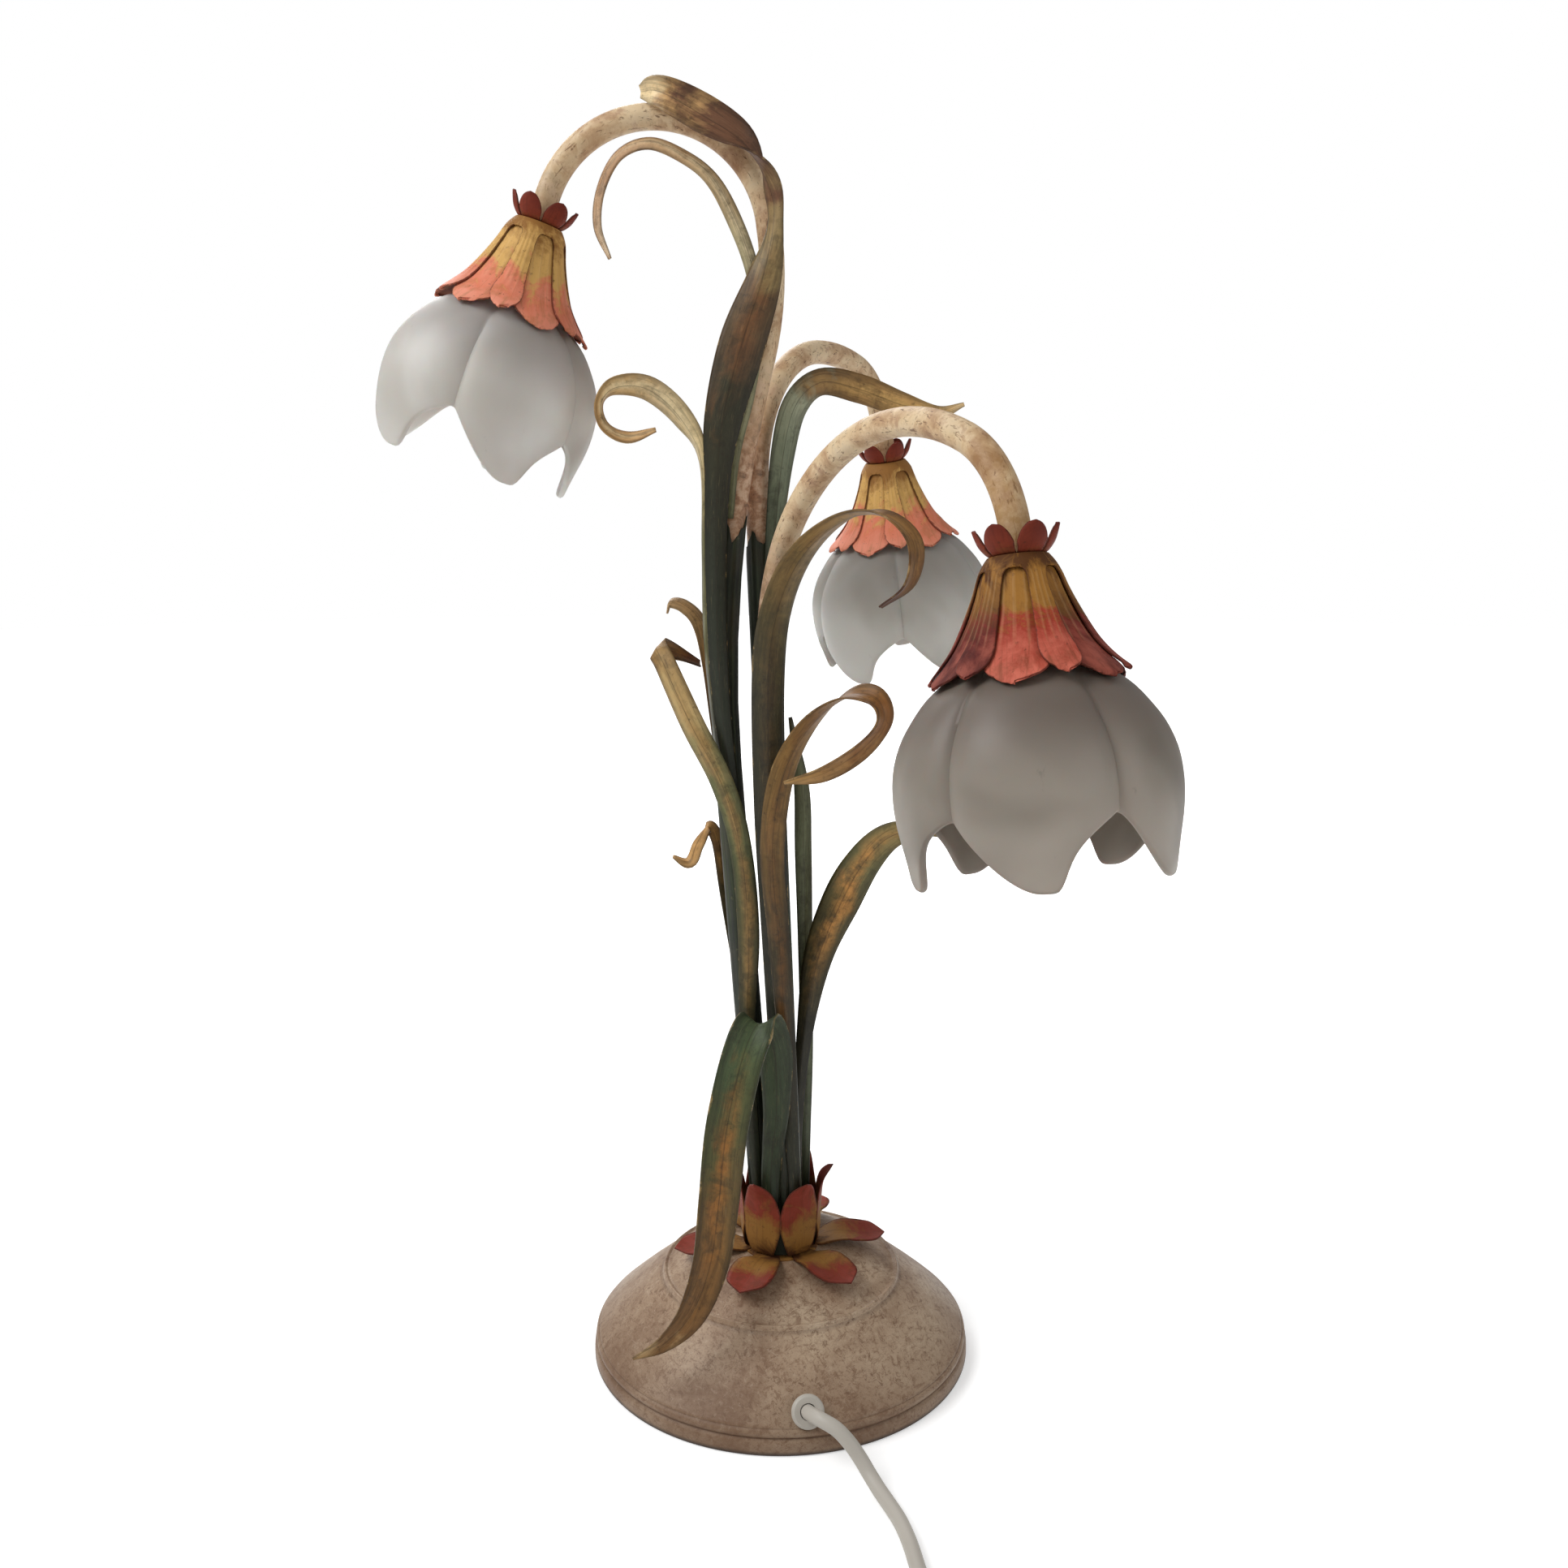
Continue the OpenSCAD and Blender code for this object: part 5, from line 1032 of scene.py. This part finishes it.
def petal_shares():
    """Each column's place in the width of its petal."""
    return [(k * SHADE_PETALS / SHADE_COLUMNS) % 1 for k in range(SHADE_COLUMNS)]


def soft_rim():
    """rim_share for each column of a shade, with its corners rounded."""
    share = np.array([rim_share(f) for f in petal_shares()])
    for _ in range(3):
        share = (np.roll(share, 1) + 2 * share + np.roll(share, -1)) / 4
    return share


def along_glass(u):
    x = min(max(u, 0), 1) * (len(shade_line) - 1)
    i = min(int(x), len(shade_line) - 2)
    return shade_line[i] + (shade_line[i + 1] - shade_line[i]) * (x - i)


def glass_section(f, share):
    """Outer face, round rim and inner face of the glass at the place f in a petal's width."""
    outer, inner = [], []
    for level in np.linspace(0, 1, SHADE_LEVELS):
        u = level * share
        p, d = along_glass(u), unit(along_glass(u + 0.03) - along_glass(u - 0.03))
        lobe = math.sqrt(max(0.02, 1 - (1 - min(1, u / 0.45)) ** 2))
        fold = min(1, abs(2 * f - 1) / lobe)
        pinch = PINCH * (0.85 * fold**4 + 0.15 * fold**18) * min(1, 2 * u)
        outer.append(vec(p[0] - pinch, p[1]))
        inner.append(outer[-1] + GLASS_T * vec(-d[1], d[0]))
    side, down = (inner[-1] - outer[-1]) / 2, unit(outer[-1] - outer[-3])
    rim = [(outer[-1] + inner[-1]) / 2 - math.cos(b) * side + math.sin(b) * GLASS_T / 2 * down
           for b in np.radians([30, 60, 90, 120, 150])]
    return outer + rim + inner[::-1]


def shade(flower, turn, glass):
    sections = [glass_section(f, share) for f, share in zip(petal_shares(), soft_rim())]
    angles = np.arange(SHADE_COLUMNS) * 2 * math.pi / SHADE_COLUMNS + math.radians(turn)
    points = [
        (r * math.cos(a), r * math.sin(a), z) for row in zip(*sections) for a, (r, z) in zip(angles, row)]
    faces = grid(len(sections[0]), SHADE_COLUMNS, wrap=True, close=True)
    along = [(z - GLASS_Z) / glass_h for _, _, z in points]
    add(flower + "_shade_glass", place(flower, points), faces, glass, flower + "_shade",
        {"along": along}, SHADE_EDGE)


CAP_R, CAP_Z, BULB_R, BULB_Z, BULB_SIDES = 6.9, HOLDER_Z + 18.3, 22, HOLDER_Z + 43.6, 48


def bulb(flower):
    """Opal bulb on a metal cap with a rolled thread."""
    middle = BULB_Z + 5 + BULB_R
    globe = [(0, BULB_Z), (9.5, BULB_Z), (9.9, BULB_Z + 1)]
    round_part = np.radians(np.linspace(-50, 90, 32))
    globe += [(BULB_R * math.cos(a), middle + BULB_R * math.sin(a)) for a in round_part]
    cap = [(0, CAP_Z), (3, CAP_Z), (4, CAP_Z + 2)]
    cap += [(CAP_R - 0.45 + 0.4 * math.cos(t * 2.1), CAP_Z + 3 + t * 0.66) for t in np.arange(0, 31, 0.5)]
    cap += [(0, BULB_Z - 0.1)]
    for part, line, paint, slot in ("globe", globe, OPAL, "bulb_glass"), ("cap", cap, BRASS, "brass"):
        weld(add(flower + "_bulb_" + part, place(flower, spun(line, BULB_SIDES)),
                 grid(len(line), BULB_SIDES, wrap=True), paint, flower + "_bulb"))


BELL_LIGHT = petal_paint(
    "bell_paint", (212, 168, 98), (148, 104, 54), (220, 126, 96), (228, 144, 118), 0.5, 1.3, 0.16)
# The front flower's bell paint: partly a redder paint, partly darker as painted shade
BELL_DEEP_SHADED = petal_paint(
    "bell_paint_deep", (158, 110, 48), (88, 54, 26), (158, 58, 42), (204, 108, 88), 0.42, 5.3, 0.16)
CALYX = petal_paint("calyx_paint", (128, 66, 40), (66, 30, 20), (130, 56, 38), (104, 40, 28), 0.3, 2.2)
# One frosted glass painted at three levels of light: lit for the tall flower, half shaded for the back one
# and shaded for the front one
LIT_GLASS = frosted_glass("frosted_glass", (240, 239, 235), (206, 203, 195), 0.45, 0.0)
HALF_SHADED_GLASS = frosted_glass("frosted_glass_back", (208, 207, 200), (168, 166, 156), 0.4, 2.0)
SHADED_GLASS = frosted_glass("frosted_glass_front", (178, 170, 158), (116, 107, 95), 0.7, 4.0)
# Glass painted at its flower's level of light, bell paint, and strength of the painted shade on sideways
# petals, of each flower
FLOWER_LOOKS = {
    "tall": (LIT_GLASS, BELL_LIGHT, 0.15), "back": (HALF_SHADED_GLASS, BELL_LIGHT, 0.1), "front": (SHADED_GLASS, BELL_DEEP_SHADED, 0.95)}
for name, (calyx_turn, bell_turn, shade_turn) in TURNS.items():
    glass, paint, side_shade_strength = FLOWER_LOOKS[name]
    bell(name, "outer", 0, SHEET_T, bell_turn, paint, side_shade_strength)
    bell(name, "inner", SHEET_T + 0.3, 2 * SHEET_T, bell_turn + 30, paint, side_shade_strength)
    calyx(name, calyx_turn, CALYX)
    shade(name, shade_turn, glass)
    bulb(name)

# ---------- materials of the CAD nodes that stay ----------

KEPT = {
    "base_weight": IRON, "felt_pad": FELT, "hub_nipple": BRASS, "base_nuts": STEEL, "cord_grommet": CORD,
    "terminal_block": BLOCK, "stem_hub": GREEN, "switch_housing": WHITE, "switch_rocker": WHITE,
    "plug_body": CORD, "plug_pins": STEEL,
}
for flower in TURNS:
    KEPT |= {flower + "_nipple": BRASS, flower + "_holder": IVORY, flower + "_shade_ring": IVORY}
for name, material in KEPT.items():
    mesh = NODES[name].data
    mesh.materials.clear()
    mesh.materials.append(material)

# ---------- floor, backdrop and light ----------

FLOOR_R, FLOOR_Z, WORLD_LIGHT = 6, -0.0004, 0.36

# The floor glows white for the camera, and less near the lamp, where its shadows show
ground = Paint("floor_paint", 0.9)
tree = ground.tree
rays = ground.make("ShaderNodeLightPath").outputs
seen = ground.sums("MAXIMUM", ground.sums("MAXIMUM", rays["Is Camera Ray"], rays["Is Glossy Ray"]),
                   rays["Is Transmission Ray"])
away = ground.make("ShaderNodeVectorMath", {"Vector": ground.coordinates}, operation="LENGTH")
strength = ground.times(seen, ground.span(away.outputs["Value"], 0.3, 1.3, 0.42, 1.0))
glow = ground.make("ShaderNodeEmission", {"Color": (1, 1, 1, 1), "Strength": strength})
both = ground.make("ShaderNodeAddShader")
tree.links.new(ground.shader.outputs[0], both.inputs[0])
tree.links.new(glow.outputs[0], both.inputs[1])
tree.links.new(both.outputs[0], tree.nodes["Material Output"].inputs["Surface"])
bpy.ops.mesh.primitive_circle_add(vertices=96, radius=FLOOR_R, fill_type="NGON", location=(0, 0, FLOOR_Z))
floor = bpy.context.object
floor.name = "floor"
floor.data.materials.append(ground.done((235, 235, 235)))

# The sky is white for the camera and gives WORLD_LIGHT to everything else
world = bpy.data.worlds.new("studio")
bpy.context.scene.world = world
world.use_nodes = True
nodes, links = world.node_tree.nodes, world.node_tree.links
path = nodes.new("ShaderNodeLightPath")
seen = nodes.new("ShaderNodeMath")
seen.operation = "MAXIMUM"
links.new(path.outputs["Is Camera Ray"], seen.inputs[0])
links.new(path.outputs["Is Transmission Ray"], seen.inputs[1])
level = nodes.new("ShaderNodeMapRange")
level.inputs["To Min"].default_value = WORLD_LIGHT
level.inputs["To Max"].default_value = 1
links.new(seen.outputs[0], level.inputs["Value"])
links.new(level.outputs[0], nodes["Background"].inputs["Strength"])
nodes["Background"].inputs["Color"].default_value = (1, 1, 1, 1)


def area_light(name, at, aim, size, watts):
    data = bpy.data.lights.new(name, "AREA")
    data.shape = "DISK"
    data.size = size
    data.energy = watts
    light = bpy.data.objects.new(name, data)
    light.location = at
    light.rotation_euler = (Vector(aim) - Vector(at)).to_track_quat("-Z", "Y").to_euler()
    bpy.context.scene.collection.objects.link(light)


area_light("key", (-1.3, -0.5, 1.7), (0, 0, 0.3), 1.2, 26)
area_light("fill", (1.6, -1.4, 1.1), (0, 0, 0.3), 1.6, 9)
area_light("back", (-0.6, 1.6, 1.5), (0, 0, 0.35), 1.3, 18)
bpy.context.scene.view_settings.view_transform = "Standard"
